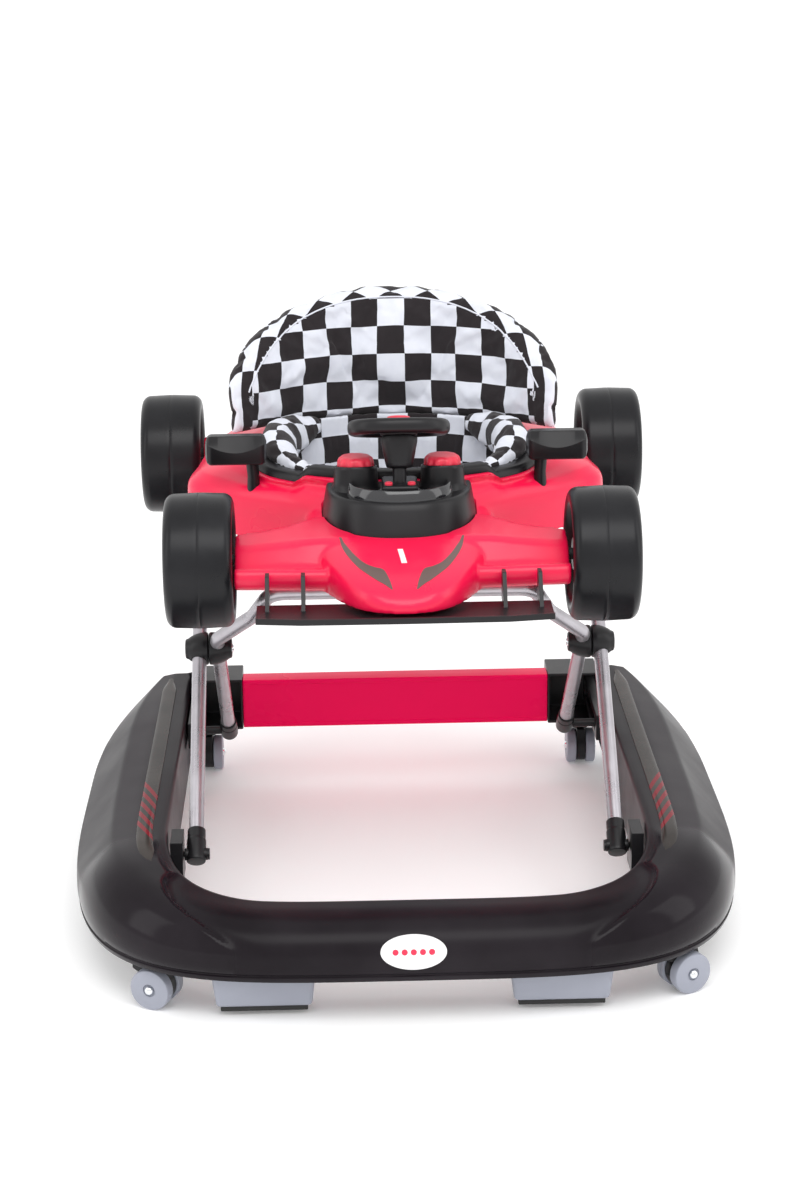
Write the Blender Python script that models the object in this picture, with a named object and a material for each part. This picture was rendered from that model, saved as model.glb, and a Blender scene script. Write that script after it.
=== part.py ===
"""Racing-car baby walker: a U-shaped base on casters, scissor legs and a car-shaped tray with a seat.

Metres, +Z up, X to the right seen from the front, -Y towards the front of the car. The origin is on the
floor, under the middle of the walker. "left" and "right" are the sides at -X and +X.
"""

from math import atan2, cos, pi, radians, sin, sqrt

import bmesh
import bpy
from mathutils import Vector

# ---- driving dimensions -------------------------------------------------------------------------------
GAP = 0.0003            # between faces that touch
FIT = 0.0003            # radial clearance of a shaft in its hole
WALL = 0.003            # moulded plastic wall

BASE_FRONT = -0.3835    # front face of the base
BASE_REAR = 0.348
BASE_HALF_WIDTH = 0.341
BASE_WIDEST_Y = 0.0585
BASE_BOTTOM = 0.046
ARM_TOP = 0.125
FRONT_TOP = 0.104
INNER_HALF_WIDTH = 0.238
INNER_FRONT = -0.3135
INNER_TURN_Y = -0.10    # where the inner wall starts to curve round
REAR_BLOCK_Y = 0.306    # the arm's end block starts here
REAR_BLOCK_INNER = 0.203

TUBE_R = 0.0075
TUBE_WALL = 0.0012
TUBE_FIT = 0.0007       # a leg tube in a ball hinge
PIVOT_Y = -0.1865       # lower front pivot of the outer legs
PIVOT_Z = 0.098
LEG_HALF = 0.24         # from the lower pivot to the crossing
LEG_UPPER = 0.14        # from the crossing to the upper pivot
LEG_ANGLE = radians(40.86)
OUTER_LEG_X = 0.211
INNER_LEG_X = 0.1915
PIN_R = 0.003
FOLD_TRAVEL = radians(29.0)

BALL_R = 0.0175
CAP_R = 0.0098
CAP_SOLID = 0.0085      # closed end of a leg cap, past the tube's end
CAP_LENGTH = 0.036

CASTER_X = 0.254
CASTER_FRONT_Y = -0.315
REAR_CASTER_X = 0.223
REAR_CASTER_Y = 0.324
CASTER_TRAIL = 0.010
WHEEL_R = 0.0205        # caster wheel
STEM_R = 0.0045

CAR_WHEEL_R = 0.068
CAR_WHEEL_HALF = 0.034
FRONT_WHEEL = (0.201, -0.108, 0.381)
REAR_WHEEL = (0.252, 0.3193, 0.388)
STUB_R = 0.006
STUB = 0.034            # how far a stub axle reaches into its wheel

OPENING_Y = 0.115       # centre of the seat opening
OPENING_A = 0.148
OPENING_B = 0.118
RIM_TOP = 0.437
BODY_BOTTOM = 0.360

CONSOLE_REAR = -0.020
CONSOLE_HALF = 0.079
CONSOLE_LENGTH = 0.1015
CONSOLE_TOP = 0.4365
POD_X = 0.044
POD_Y = -0.0418
POD_TOP = 0.455
STEER_TILT = radians(17.0)
COLUMN_FOOT = Vector((0, -0.0715, 0.433))
STEER_AXIS = Vector((0, sin(STEER_TILT), cos(STEER_TILT)))
STEER_HEIGHT = 0.070    # along the axis, from the column's foot to the steering wheel's middle

CROSS_Y = PIVOT_Y + LEG_HALF * cos(LEG_ANGLE)
CROSS_Z = PIVOT_Z + LEG_HALF * sin(LEG_ANGLE)
SLIDE_Y = CROSS_Y + LEG_HALF * cos(LEG_ANGLE)
UPPER_Z = CROSS_Z + LEG_UPPER * sin(LEG_ANGLE)
OUTER_TOP_Y = CROSS_Y + LEG_UPPER * cos(LEG_ANGLE)
INNER_TOP_Y = CROSS_Y - LEG_UPPER * cos(LEG_ANGLE)
SLIDE_TRAVEL = 2 * LEG_HALF * (cos(LEG_ANGLE - FOLD_TRAVEL) - cos(LEG_ANGLE))
TOP_TRAVEL = 2 * LEG_UPPER * (cos(LEG_ANGLE - FOLD_TRAVEL) - cos(LEG_ANGLE))
SIDES = (("left", -1), ("right", 1))

CORNER = (0.14, -0.20)      # the base's front corners turn about this point
BASE_END_ROWS = (           # rounding of an arm's rear end: (distance from the end, drawn in, dropped)
    (0.0, 0.016, 0.032), (0.006, 0.006, 0.017), (0.016, 0.001, 0.009),
)
PAN_BOTTOM = BASE_BOTTOM + 0.001
PAN_TOP = PAN_BOTTOM + 0.003
BOSS_TOP = PAN_TOP + 0.026  # bosses that hold the caster stems
BOSS_R = 0.008
TRIM_NEAR, TRIM_FAR, TRIM_THICK = 0.016, 0.032, 0.002
BADGE_CENTRE = Vector((0, -0.3810, 0.0765))
BADGE_NORMAL = Vector((0, -0.96, 0.28))
BADGE_A, BADGE_B, BADGE_THICK = 0.031, 0.0165, 0.0035
BRAKE_NEAR, BRAKE_FAR = 0.092, 0.191
BRAKE_FRONT, BRAKE_BACK, BRAKE_BOTTOM = -0.3585, -0.3195, 0.010
PAD_BOTTOM = 0.005

CASTERS = (                 # (name, swivel axis, rolling direction)
    ("front_left", (-CASTER_X, CASTER_FRONT_Y), (0.91, -0.40)),
    ("front_right", (CASTER_X, CASTER_FRONT_Y), (0.89, 0.45)),
    ("rear_left", (-REAR_CASTER_X, REAR_CASTER_Y), (0.0, -1.0)),
    ("rear_right", (REAR_CASTER_X, REAR_CASTER_Y), (0.0, -1.0)),
)
WEB_R, WEB_HALF = 0.0175, 0.0050            # the hood between a caster's two discs
NECK_R, NECK_BOTTOM = 0.0048, 0.030
CROWN_R, CROWN_BOTTOM, CROWN_TOP = 0.0140, 0.0425, BASE_BOTTOM - GAP

OUTER_DIR = Vector((0, cos(LEG_ANGLE), sin(LEG_ANGLE)))      # up and back
INNER_DIR = Vector((0, -cos(LEG_ANGLE), sin(LEG_ANGLE)))     # up and forward
INNER_CORNERS = ((INNER_LEG_X, 0.024), (0.152, 0.082), (0.132, LEG_UPPER))     # (x, distance past the crossing)
INNER_BEND = 0.022
SLIDE_PIN_R = 0.0050
ROLLER_R = 0.0062
TRACK_INNER = 0.2255
TRACK_OUTER = INNER_HALF_WIDTH - 2 * GAP
BRACKET_INNER, BRACKET_HALF, BRACKET_BOTTOM, BRACKET_TOP = 0.2235, 0.019, 0.074, 0.118
RAIL_INNER, RAIL_OUTER, RAIL_TOP = 0.1890, 0.2000, 0.400
CHEEK, CHEEK_WALL = 0.1785, 0.0024          # inner wall of the crossbar's socket, clear of the sliding foot
SOCKET_FRONT, SOCKET_BACK = 0.2485, 0.3045
SOCKET_BOTTOM, SOCKET_TOP = 0.072, 0.133
BAR_FRONT, BAR_BACK = 0.2505, 0.2775
BAR_BOTTOM, BAR_TOP = 0.0735, 0.1315
BAR_WALL = 0.0025
CLIP_X, CLIP_HALF, CLIP_TOP = 0.036, 0.008, 0.386

BODY_OUTLINE = ((0.0, -0.060), (0.055, -0.045), (0.110, 0.005), (0.1765, 0.0535), (0.2226, 0.0985),
                (0.218, 0.160), (0.203, 0.235), (0.170, 0.300), (0.105, 0.345), (0.0, 0.360))
NOSE_ROWS = (               # (y, half-width, top) from the opening to the tip
    (OPENING_Y - OPENING_B - WALL, 0.099, 0.416), (-0.040, 0.096, 0.410), (-0.1215, 0.088, 0.405),
    (-0.1575, 0.075, 0.398), (-0.190, 0.060, 0.390), (-0.213, 0.044, 0.381), (-0.2245, 0.028, 0.373),
    (-0.2290, 0.012, 0.367),
)
CONSOLE_FOOT, CONSOLE_POCKET = 0.3890, 0.3885
MIRROR_STALK = ((0.1445, 0.0405), (0.1575, 0.0525))      # corners of the stalk's foot, in x and y
STALK_FOOT = 0.405
MIRROR_Y = 0.0465
SHAFT_R = 0.0070
PEDESTAL_TOP = 0.4490
BUTTON_X, BUTTON_Y, BUTTON_R = 0.0115, -0.0825, 0.0040
BUTTON_TRAVEL = 0.0012
BUTTON_DEPTH = 0.0040       # how far a button reaches into its well
KNOB_R = 0.0190
KNOB_STEM_R = 0.0040
VISOR_Y = -0.068
VISOR_BOTTOM, VISOR_TOP = 0.4285, 0.4550
VISOR_THICK = 0.0025
RING_A, RING_B, RING_TUBE = 0.0440, 0.0340, 0.0080       # steering wheel
HORN_R = 0.0125
WING_HALF = 0.1435
WING_FRONT, WING_REAR = -0.2365, -0.180
WING_BOTTOM, WING_TOP = 0.3500, 0.3550

BACK_R, BACK_Y, BACK_THICK = 0.2125, 0.0115, 0.026       # seat back: arc radius, its centre, thickness
BACK_SPAN = radians(52)
BACK_LEAN = 0.14
BACK_EDGE, BACK_CROWN = 0.030, 0.118                     # height at the ends, and the arch above that
PAD_WALL = 0.008
LEG_HOLE_R = 0.034


# ---- helpers ------------------------------------------------------------------------------------------
def clear_scene():
    for obj in list(bpy.data.objects):
        bpy.data.objects.remove(obj, do_unlink=True)


def material(name, colour, roughness, metallic=0.0):
    made = bpy.data.materials.new(name)
    made.use_nodes = True
    shader = made.node_tree.nodes["Principled BSDF"]
    shader.inputs["Base Color"].default_value = (*colour, 1)
    shader.inputs["Roughness"].default_value = roughness
    shader.inputs["Metallic"].default_value = metallic
    made.diffuse_color = (*colour, 1)
    return made


def add(name, mesh_data, mat, origin=(0, 0, 0), sharp=35):
    """An object from (points, faces), with its origin at a world point."""
    points, faces = mesh_data
    origin = Vector(origin)
    mesh = bpy.data.meshes.new(name)
    mesh.from_pydata([Vector(p) - origin for p in points], [], faces)
    bm = bmesh.new()
    bm.from_mesh(mesh)
    bmesh.ops.recalc_face_normals(bm, faces=bm.faces)
    bm.to_mesh(mesh)
    bm.free()
    mesh.shade_smooth()
    mesh.set_sharp_from_angle(angle=radians(sharp))
    obj = bpy.data.objects.new(name, mesh)
    obj.location = origin
    bpy.context.scene.collection.objects.link(obj)
    if mat:
        mesh.materials.append(mat)
    return obj


def boolean(target, mesh_data, operation, solver):
    """Joins or cuts a helper shape, which stays hidden beside its target."""
    helper = add(f"{target.name}_helper_{len(target.modifiers)}", mesh_data, None)
    helper.hide_render = True
    helper.display_type = "WIRE"
    modifier = target.modifiers.new(operation.title(), "BOOLEAN")
    modifier.operation = operation
    modifier.solver = solver
    modifier.object = helper


def cut(target, *shapes, solver="EXACT"):
    for shape in shapes:
        boolean(target, shape, "DIFFERENCE", solver)


def join(target, *shapes, solver="EXACT"):
    for shape in shapes:
        boolean(target, shape, "UNION", solver)


def loft(rings, closed=False):
    """Skin over rings of points. A closed loft joins its last ring to its first."""
    count = len(rings[0])
    points = [p for ring in rings for p in ring]
    faces = []
    for i in range(len(rings) - (0 if closed else 1)):
        j = (i + 1) % len(rings)
        for k in range(count):
            m = (k + 1) % count
            faces.append((i * count + k, i * count + m, j * count + m, j * count + k))
    if not closed:
        faces.append(tuple(range(count))[::-1])
        faces.append(tuple(range((len(rings) - 1) * count, len(rings) * count)))
    return points, faces


def box(low, high, taper=0.0):
    """A block; taper draws its bottom face in on all sides."""
    (x0, y0, z0), (x1, y1, z1) = low, high
    t = taper
    bottom = [(x0 + t, y0 + t, z0), (x1 - t, y0 + t, z0), (x1 - t, y1 - t, z0), (x0 + t, y1 - t, z0)]
    top = [(x0, y0, z1), (x1, y0, z1), (x1, y1, z1), (x0, y1, z1)]
    return loft([bottom, top])


def across(x0, x1):
    """The two ends of a span mirrored to one side, low value first."""
    return min(x0, x1), max(x0, x1)


def frame_of(direction):
    direction = Vector(direction).normalized()
    side = Vector((0, 0, 1)).cross(direction)
    if side.length < 1e-3:
        side = Vector((1, 0, 0))
    side.normalize()
    return direction, side, direction.cross(side)


def turned(profile, start, direction, steps=16):
    """A solid turned about an axis: profile holds (distance along the axis, radius)."""
    along, side, up = frame_of(direction)
    start = Vector(start)
    points = []
    rows = []
    for distance, radius in profile:
        centre = start + along * distance
        if radius < 1e-6:
            rows.append([len(points)] * steps)
            points.append(centre)
            continue
        rows.append(list(range(len(points), len(points) + steps)))
        for k in range(steps):
            a = 2 * pi * k / steps
            points.append(centre + side * (radius * cos(a)) + up * (radius * sin(a)))
    faces = []
    open_profile = profile[0][1] < 1e-6 and profile[-1][1] < 1e-6
    pairs = list(zip(rows, rows[1:])) + ([] if open_profile else [(rows[-1], rows[0])])
    for a, b in pairs:
        for k in range(steps):
            m = (k + 1) % steps
            corners = []
            for index in (a[k], a[m], b[m], b[k]):
                if index not in corners:
                    corners.append(index)
            if len(corners) > 2:
                faces.append(tuple(corners))
    return points, faces


def rod(start, end, radius, steps=12):
    start, end = Vector(start), Vector(end)
    length = (end - start).length
    return turned([(0, 0), (0, radius), (length, radius), (length, 0)], start, end - start, steps)


def rounded_path(corners, radius, steps=5):
    """A polyline whose inner corners are arcs of one radius."""
    corners = [Vector(c) for c in corners]
    path = [corners[0]]
    for before, corner, after in zip(corners, corners[1:], corners[2:]):
        into = (corner - before).normalized()
        out = (after - corner).normalized()
        turn = into.angle(out)
        reach = radius * (1 - cos(turn)) / max(sin(turn), 1e-6)
        normal = (out - into * into.dot(out)).normalized()
        centre = corner - into * reach + normal * radius
        for k in range(steps + 1):
            a = turn * k / steps
            path.append(centre + into * (radius * sin(a)) - normal * (radius * cos(a)))
    path.append(corners[-1])
    return path


def tube(path, outer, inner, sides=8):
    """A pipe along a path, open at both ends."""
    path = [Vector(p) for p in path]
    directions = [(b - a).normalized() for a, b in zip(path, path[1:])]
    side = directions[0].orthogonal().normalized()
    rings = []
    for i, point in enumerate(path):
        here = directions[min(i, len(directions) - 1)]
        before = directions[max(i - 1, 0)]
        tangent = (here + before).normalized()
        side = (side - tangent * side.dot(tangent)).normalized()
        up = tangent.cross(side)
        ring = []
        for radius in (outer, inner):
            for k in range(sides):
                a = 2 * pi * k / sides
                ring.append(point + side * (radius * cos(a)) + up * (radius * sin(a)))
        rings.append(ring)
    points = [p for ring in rings for p in ring]
    faces = []
    count = 2 * sides
    for i in range(len(rings) - 1):
        for layer in (0, sides):
            for k in range(sides):
                a, b = i * count + layer + k, i * count + layer + (k + 1) % sides
                faces.append((a, b, b + count, a + count))
    for end in (0, (len(rings) - 1) * count):
        for k in range(sides):
            m = (k + 1) % sides
            faces.append((end + k, end + m, end + sides + m, end + sides + k))
    return points, faces


def smooth_step(value):
    value = min(max(value, 0.0), 1.0)
    return value * value * (3 - 2 * value)


# ---- base ---------------------------------------------------------------------------------------------
def outer_half_width(y):
    """Half-width of the base's outline: a superellipse in front, drawn in a little at the rear."""
    if y > BASE_WIDEST_Y:
        return BASE_HALF_WIDTH - 0.040 * ((y - BASE_WIDEST_Y) / 0.24) ** 3
    share = (BASE_WIDEST_Y - y) / (BASE_WIDEST_Y - BASE_FRONT)
    return BASE_HALF_WIDTH * max(1 - share**4, 0) ** (1 / 4)


def inner_half_width(y):
    if y >= REAR_BLOCK_Y:
        return REAR_BLOCK_INNER
    if y > INNER_TURN_Y:
        return INNER_HALF_WIDTH
    share = (INNER_TURN_Y - y) / (INNER_TURN_Y - INNER_FRONT)
    return INNER_HALF_WIDTH * max(1 - share**4.6, 0) ** (1 / 4.6)


def reach(half_width, start, direction):
    """Where a ray from inside an outline crosses it, by bisection."""
    near, far = 0.0, 0.5
    for _ in range(40):
        middle = (near + far) / 2
        x, y = start[0] + direction[0] * middle, start[1] + direction[1] * middle
        if y > BASE_FRONT and x < half_width(y):
            near = middle
        else:
            far = middle
    return (start[0] + direction[0] * near, start[1] + direction[1] * near)


def base_stations():
    """(inner point, outer point, top height, plateau share) from the rear end to the front's middle."""
    stations = []
    for distance, drawn_in, dropped in (*BASE_END_ROWS, (BASE_REAR - REAR_BLOCK_Y - 0.001, 0.0, 0.0)):
        y = BASE_REAR - distance
        inner, outer = (REAR_BLOCK_INNER + drawn_in, y), (outer_half_width(y) - drawn_in, y)
        stations.append((inner, outer, ARM_TOP - dropped, 0.45))
    arm_rows = [REAR_BLOCK_Y - 0.001, 0.25, 0.18, 0.09, 0.0, -0.08, -0.15, CORNER[1]]
    for y in arm_rows:
        stations.append(((inner_half_width(y), y), (outer_half_width(y), y), ARM_TOP, 0.45))
    for step in range(1, 7):
        angle = -radians(90) * step / 7
        ray = (cos(angle), sin(angle))
        blend = smooth_step(step / 7)
        top = ARM_TOP + (FRONT_TOP - ARM_TOP) * blend
        inner, outer = reach(inner_half_width, CORNER, ray), reach(outer_half_width, CORNER, ray)
        stations.append((inner, outer, top, 0.45 - 0.17 * blend))
    for x in (0.14, 0.09, 0.0):
        inner = reach(inner_half_width, (x, CORNER[1]), (0, -1))
        outer = reach(outer_half_width, (x, CORNER[1]), (0, -1))
        stations.append((inner, outer, FRONT_TOP, 0.28))
    return stations


def base_profile(width, top, plateau, inset=0.0):
    """Half-round section of the base: (distance from the inner wall, height) from inner to outer foot."""
    bottom = BASE_BOTTOM - (0.008 if inset else 0.0)
    top -= inset
    near, far = inset, width - inset
    bend = 0.008
    flat = plateau * width
    middle = BASE_BOTTOM + 0.016
    profile = [(near, bottom), (near, top - bend)]
    profile += [(near + bend * (1 - cos(radians(a))), top - bend + bend * sin(radians(a))) for a in (45, 90)]
    for a in (90, 64, 40, 18, 0):
        d = flat + (far - flat) * cos(radians(a)) ** (2 / 2.3)
        z = middle + (top - middle) * sin(radians(a)) ** (2 / 2.3)
        profile.append((d, z))
    profile.append((far - 0.006, bottom))
    return profile


def base_loft(section, stations):
    """A loft of one section function along the whole U, mirrored at the middle."""
    rings = []
    mirrored = [((-i[0], i[1]), (-o[0], o[1]), t, p) for i, o, t, p in stations[:-1]][::-1]
    for inner, outer, top, plateau in stations + mirrored:
        inner, outer = Vector((*inner, 0)), Vector((*outer, 0))
        across_line = outer - inner
        width = across_line.length
        across_line.normalize()
        rings.append([inner + across_line * d + Vector((0, 0, z)) for d, z in section(width, top, plateau)])
    return loft(rings)


def cavity_stations(stations):
    """The same stations with the end drawn in, so that the shell keeps an end wall."""
    first = stations[0]
    moved = ((first[0][0], first[0][1] - WALL), (first[1][0], first[1][1] - WALL), first[2], first[3])
    block = stations[3]
    moved_block = ((block[0][0], block[0][1] + WALL), (block[1][0], block[1][1] + WALL), block[2], block[3])
    arm = stations[4]
    moved_arm = ((arm[0][0], arm[0][1] + WALL), (arm[1][0], arm[1][1] + WALL), arm[2], arm[3])
    return [moved, *stations[1:3], moved_block, moved_arm, *stations[5:]]


def badge_shape(grow, thickness):
    along, side, up = frame_of(BADGE_NORMAL)
    rings = []
    for distance in (-thickness / 2, thickness / 2):
        ring = []
        for k in range(24):
            a = 2 * pi * k / 24
            ring.append(
                BADGE_CENTRE + along * distance
                + side * ((BADGE_A + grow) * cos(a)) + up * ((BADGE_B + grow) * sin(a))
            )
        rings.append(ring)
    return loft(rings)


def make_base(black, trim_black, badge_white, dark):
    stations = base_stations()
    shell = add("base_upper_shell", base_loft(base_profile, stations), black)
    hollow = base_loft(lambda w, t, p: base_profile(w, t, p, WALL), cavity_stations(stations))
    cut(shell, hollow, badge_shape(GAP, 0.012), solver="MANIFOLD")
    add("front_badge", badge_shape(0, BADGE_THICK), badge_white)

    def pan_section(width, *_):
        near, far = WALL + 2 * GAP, width - WALL - 0.007
        return [(near, PAN_BOTTOM), (near, PAN_TOP), (far, PAN_TOP), (far, PAN_BOTTOM)]

    pan = add("base_lower_pan", base_loft(pan_section, cavity_stations(stations)), dark)
    for _, (x, y), _ in CASTERS:
        join(pan, rod((x, y, PAN_BOTTOM + 0.001), (x, y, BOSS_TOP), BOSS_R))
    for _, (x, y), _ in CASTERS:
        cut(pan, rod((x, y, PAN_BOTTOM - 0.01), (x, y, BOSS_TOP + 0.01), STEM_R + FIT, 12))

    for name, side in SIDES:
        rings = []
        for inner, outer, top, _ in stations[5:14]:
            inner = Vector((side * inner[0], inner[1], 0))
            outer = Vector((side * outer[0], outer[1], 0))
            away = (outer - inner).normalized()
            low, high = top + 2 * GAP, top + 2 * GAP + TRIM_THICK
            section = ((TRIM_NEAR, low), (TRIM_NEAR, high), (TRIM_FAR, high), (TRIM_FAR, low))
            rings.append([inner + away * d + Vector((0, 0, z)) for d, z in section])
        add(f"side_trim_{name}", loft(rings), trim_black)


def make_brakes(grey, rubber):
    for name, side in SIDES:
        x0, x1 = across(side * BRAKE_NEAR, side * BRAKE_FAR)
        block = box((x0, BRAKE_FRONT, BRAKE_BOTTOM), (x1, BRAKE_BACK, PAN_BOTTOM - GAP), taper=0.004)
        add(f"brake_block_{name}", block, grey)
        x0, x1 = across(side * (BRAKE_NEAR + 0.008), side * (BRAKE_FAR - 0.008))
        pad = box((x0, BRAKE_FRONT + 0.007, PAD_BOTTOM), (x1, BRAKE_BACK - 0.007, BRAKE_BOTTOM - GAP))
        add(f"brake_pad_{name}", pad, rubber)


def make_casters(grey, black):
    for name, (x, y), roll in CASTERS:
        roll = Vector((*roll, 0)).normalized()
        axle = Vector((-roll.y, roll.x, 0))
        hub = Vector((x, y, WHEEL_R)) + roll * CASTER_TRAIL
        web = rod(hub - axle * WEB_HALF, hub + axle * WEB_HALF, WEB_R)
        fork = add(f"caster_fork_{name}", web, black, origin=(x, y, PAN_BOTTOM))
        neck = rod((x, y, NECK_BOTTOM), (x, y, CROWN_TOP - 0.001), NECK_R, 10)
        crown = rod((x, y, CROWN_BOTTOM), (x, y, CROWN_TOP), CROWN_R)
        stem = rod((x, y, CROWN_BOTTOM - 0.0025), (x, y, BOSS_TOP - 0.002), STEM_R, 8)
        join(fork, neck, crown, stem)
        cut(fork, rod(hub - axle * 0.02, hub + axle * 0.02, PIN_R + FIT, 8))
        half = [
            (0.0055, PIN_R), (0.0055, WHEEL_R - 0.002), (0.0070, WHEEL_R), (0.0150, WHEEL_R),
            (0.0165, WHEEL_R - 0.0015), (0.0165, 0.0050), (0.0195, 0.0035), (0.0205, 0),
        ]
        profile = [(-d, r) for d, r in half[::-1]] + half
        add(f"caster_wheels_{name}", turned(profile, hub, axle, 16), grey, origin=hub)


# ---- legs ---------------------------------------------------------------------------------------------
def cap_shape(pivot, direction):
    """A closed cup over a tube's end: the pivot lies in its solid part, and the tube leaves along direction."""
    outer, inner = CAP_R, TUBE_R + FIT
    mouth = CAP_LENGTH - CAP_SOLID
    profile = [
        (-CAP_SOLID, 0), (-CAP_SOLID, outer - 0.002), (-CAP_SOLID + 0.002, outer),
        (mouth, outer), (mouth, inner), (CAP_SOLID, inner), (CAP_SOLID, 0),
    ]
    return turned(profile, pivot, direction, 12)


def make_outer_legs(metal, black):
    for name, side in SIDES:
        x = side * OUTER_LEG_X
        foot = Vector((x, PIVOT_Y, PIVOT_Z))
        top = Vector((x, OUTER_TOP_Y, UPPER_Z))
        centre = Vector((x, CROSS_Y, CROSS_Z))
        inset = CAP_SOLID + GAP
        path = [foot + OUTER_DIR * inset, centre, top - OUTER_DIR * inset]
        leg = add(f"outer_leg_tube_{name}", tube(path, TUBE_R, TUBE_R - TUBE_WALL), metal, origin=foot)
        cut(leg, rod(centre - Vector((0.02, 0, 0)), centre + Vector((0.02, 0, 0)), PIN_R + FIT, 12))
        foot_cap = add(f"outer_leg_foot_{name}", cap_shape(foot, OUTER_DIR), black, origin=foot)
        cut(foot_cap, rod(foot - Vector((0.02, 0, 0)), foot + Vector((0.02, 0, 0)), PIN_R + FIT, 12))
        top_cap = add(f"outer_leg_top_{name}", cap_shape(top, -OUTER_DIR), black, origin=top)
        inward = Vector((-side, 0, 0))
        join(top_cap, rod(top, top + inward * (OUTER_LEG_X - RAIL_INNER - 0.0015), SLIDE_PIN_R, 8))


def make_inner_legs(metal, black):
    """One tube: up from the left track, in behind the front wheels, across under the nose, and down again."""
    lower = Vector((INNER_LEG_X, SLIDE_Y, PIVOT_Z))
    half = [lower + INNER_DIR * (CAP_SOLID + GAP)]
    half += [Vector((x, CROSS_Y, CROSS_Z)) + INNER_DIR * along for x, along in INNER_CORNERS]
    mirrored = [Vector((-c.x, c.y, c.z)) for c in half[::-1]]
    path = rounded_path([*half, *mirrored], INNER_BEND, 3)
    leg = add("inner_leg_tube", tube(path, TUBE_R, TUBE_R - TUBE_WALL), metal, origin=(0, CROSS_Y, CROSS_Z))
    for name, side in SIDES:
        pivot = Vector((side * INNER_LEG_X, CROSS_Y, CROSS_Z))
        cut(leg, rod(pivot - Vector((0.02, 0, 0)), pivot + Vector((0.02, 0, 0)), PIN_R + FIT, 12))
        foot = Vector((side * lower.x, lower.y, lower.z))
        cap = add(f"inner_leg_foot_{name}", cap_shape(foot, INNER_DIR), black, origin=foot)
        out = Vector((side, 0, 0))
        shank = rod(foot, foot + out * (TRACK_OUTER - 0.0045 - INNER_LEG_X), SLIDE_PIN_R, 8)
        roller = rod(foot + out * (TRACK_INNER + 0.0015 - INNER_LEG_X),
                     foot + out * (TRACK_OUTER - 0.0045 - INNER_LEG_X), ROLLER_R, 12)
        join(cap, shank, roller)


def ball_profile(inner_x, outer_x):
    """Half of a ball, from the split plane out to a flat cap."""
    length = outer_x - inner_x
    rows = [(0, 0)]
    for a in (0, 25, 50):
        rows.append((length * sin(radians(a)) / sin(radians(72)), BALL_R * cos(radians(a)) ** 0.8))
    return rows + [(length, 0.0095), (length, 0)]


def make_hinges(black):
    split = (OUTER_LEG_X + INNER_LEG_X) / 2
    for name, side in SIDES:
        out = Vector((side, 0, 0))
        centre = Vector((0, CROSS_Y, CROSS_Z))
        outer_start = centre + out * (split + GAP)
        outer = add(f"hinge_ball_outer_{name}", turned(ball_profile(0, 0.0245), outer_start, out, 12), black,
                    origin=centre + out * split)
        leg = centre + out * OUTER_LEG_X
        cut(outer, rod(leg - OUTER_DIR * 0.03, leg + OUTER_DIR * 0.03, TUBE_R + TUBE_FIT, 12))
        join(outer, rod(centre + out * (split - 0.0275), centre + out * (split + 0.020), PIN_R, 12))
        join(outer, rod(centre + out * (split - 0.0290), centre + out * (split - 0.0262), 0.0065, 16))
        inner_start = centre + out * (split - GAP)
        inner = add(f"hinge_ball_inner_{name}", turned(ball_profile(0, 0.0245), inner_start, -out, 12), black,
                    origin=centre + out * split)
        leg = centre + out * INNER_LEG_X
        cut(inner, rod(leg - INNER_DIR * 0.03, leg + INNER_DIR * 0.03, TUBE_R + TUBE_FIT, 12),
            rod(centre + out * (split - 0.035), centre + out * (split + 0.01), PIN_R + FIT, 12))


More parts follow.
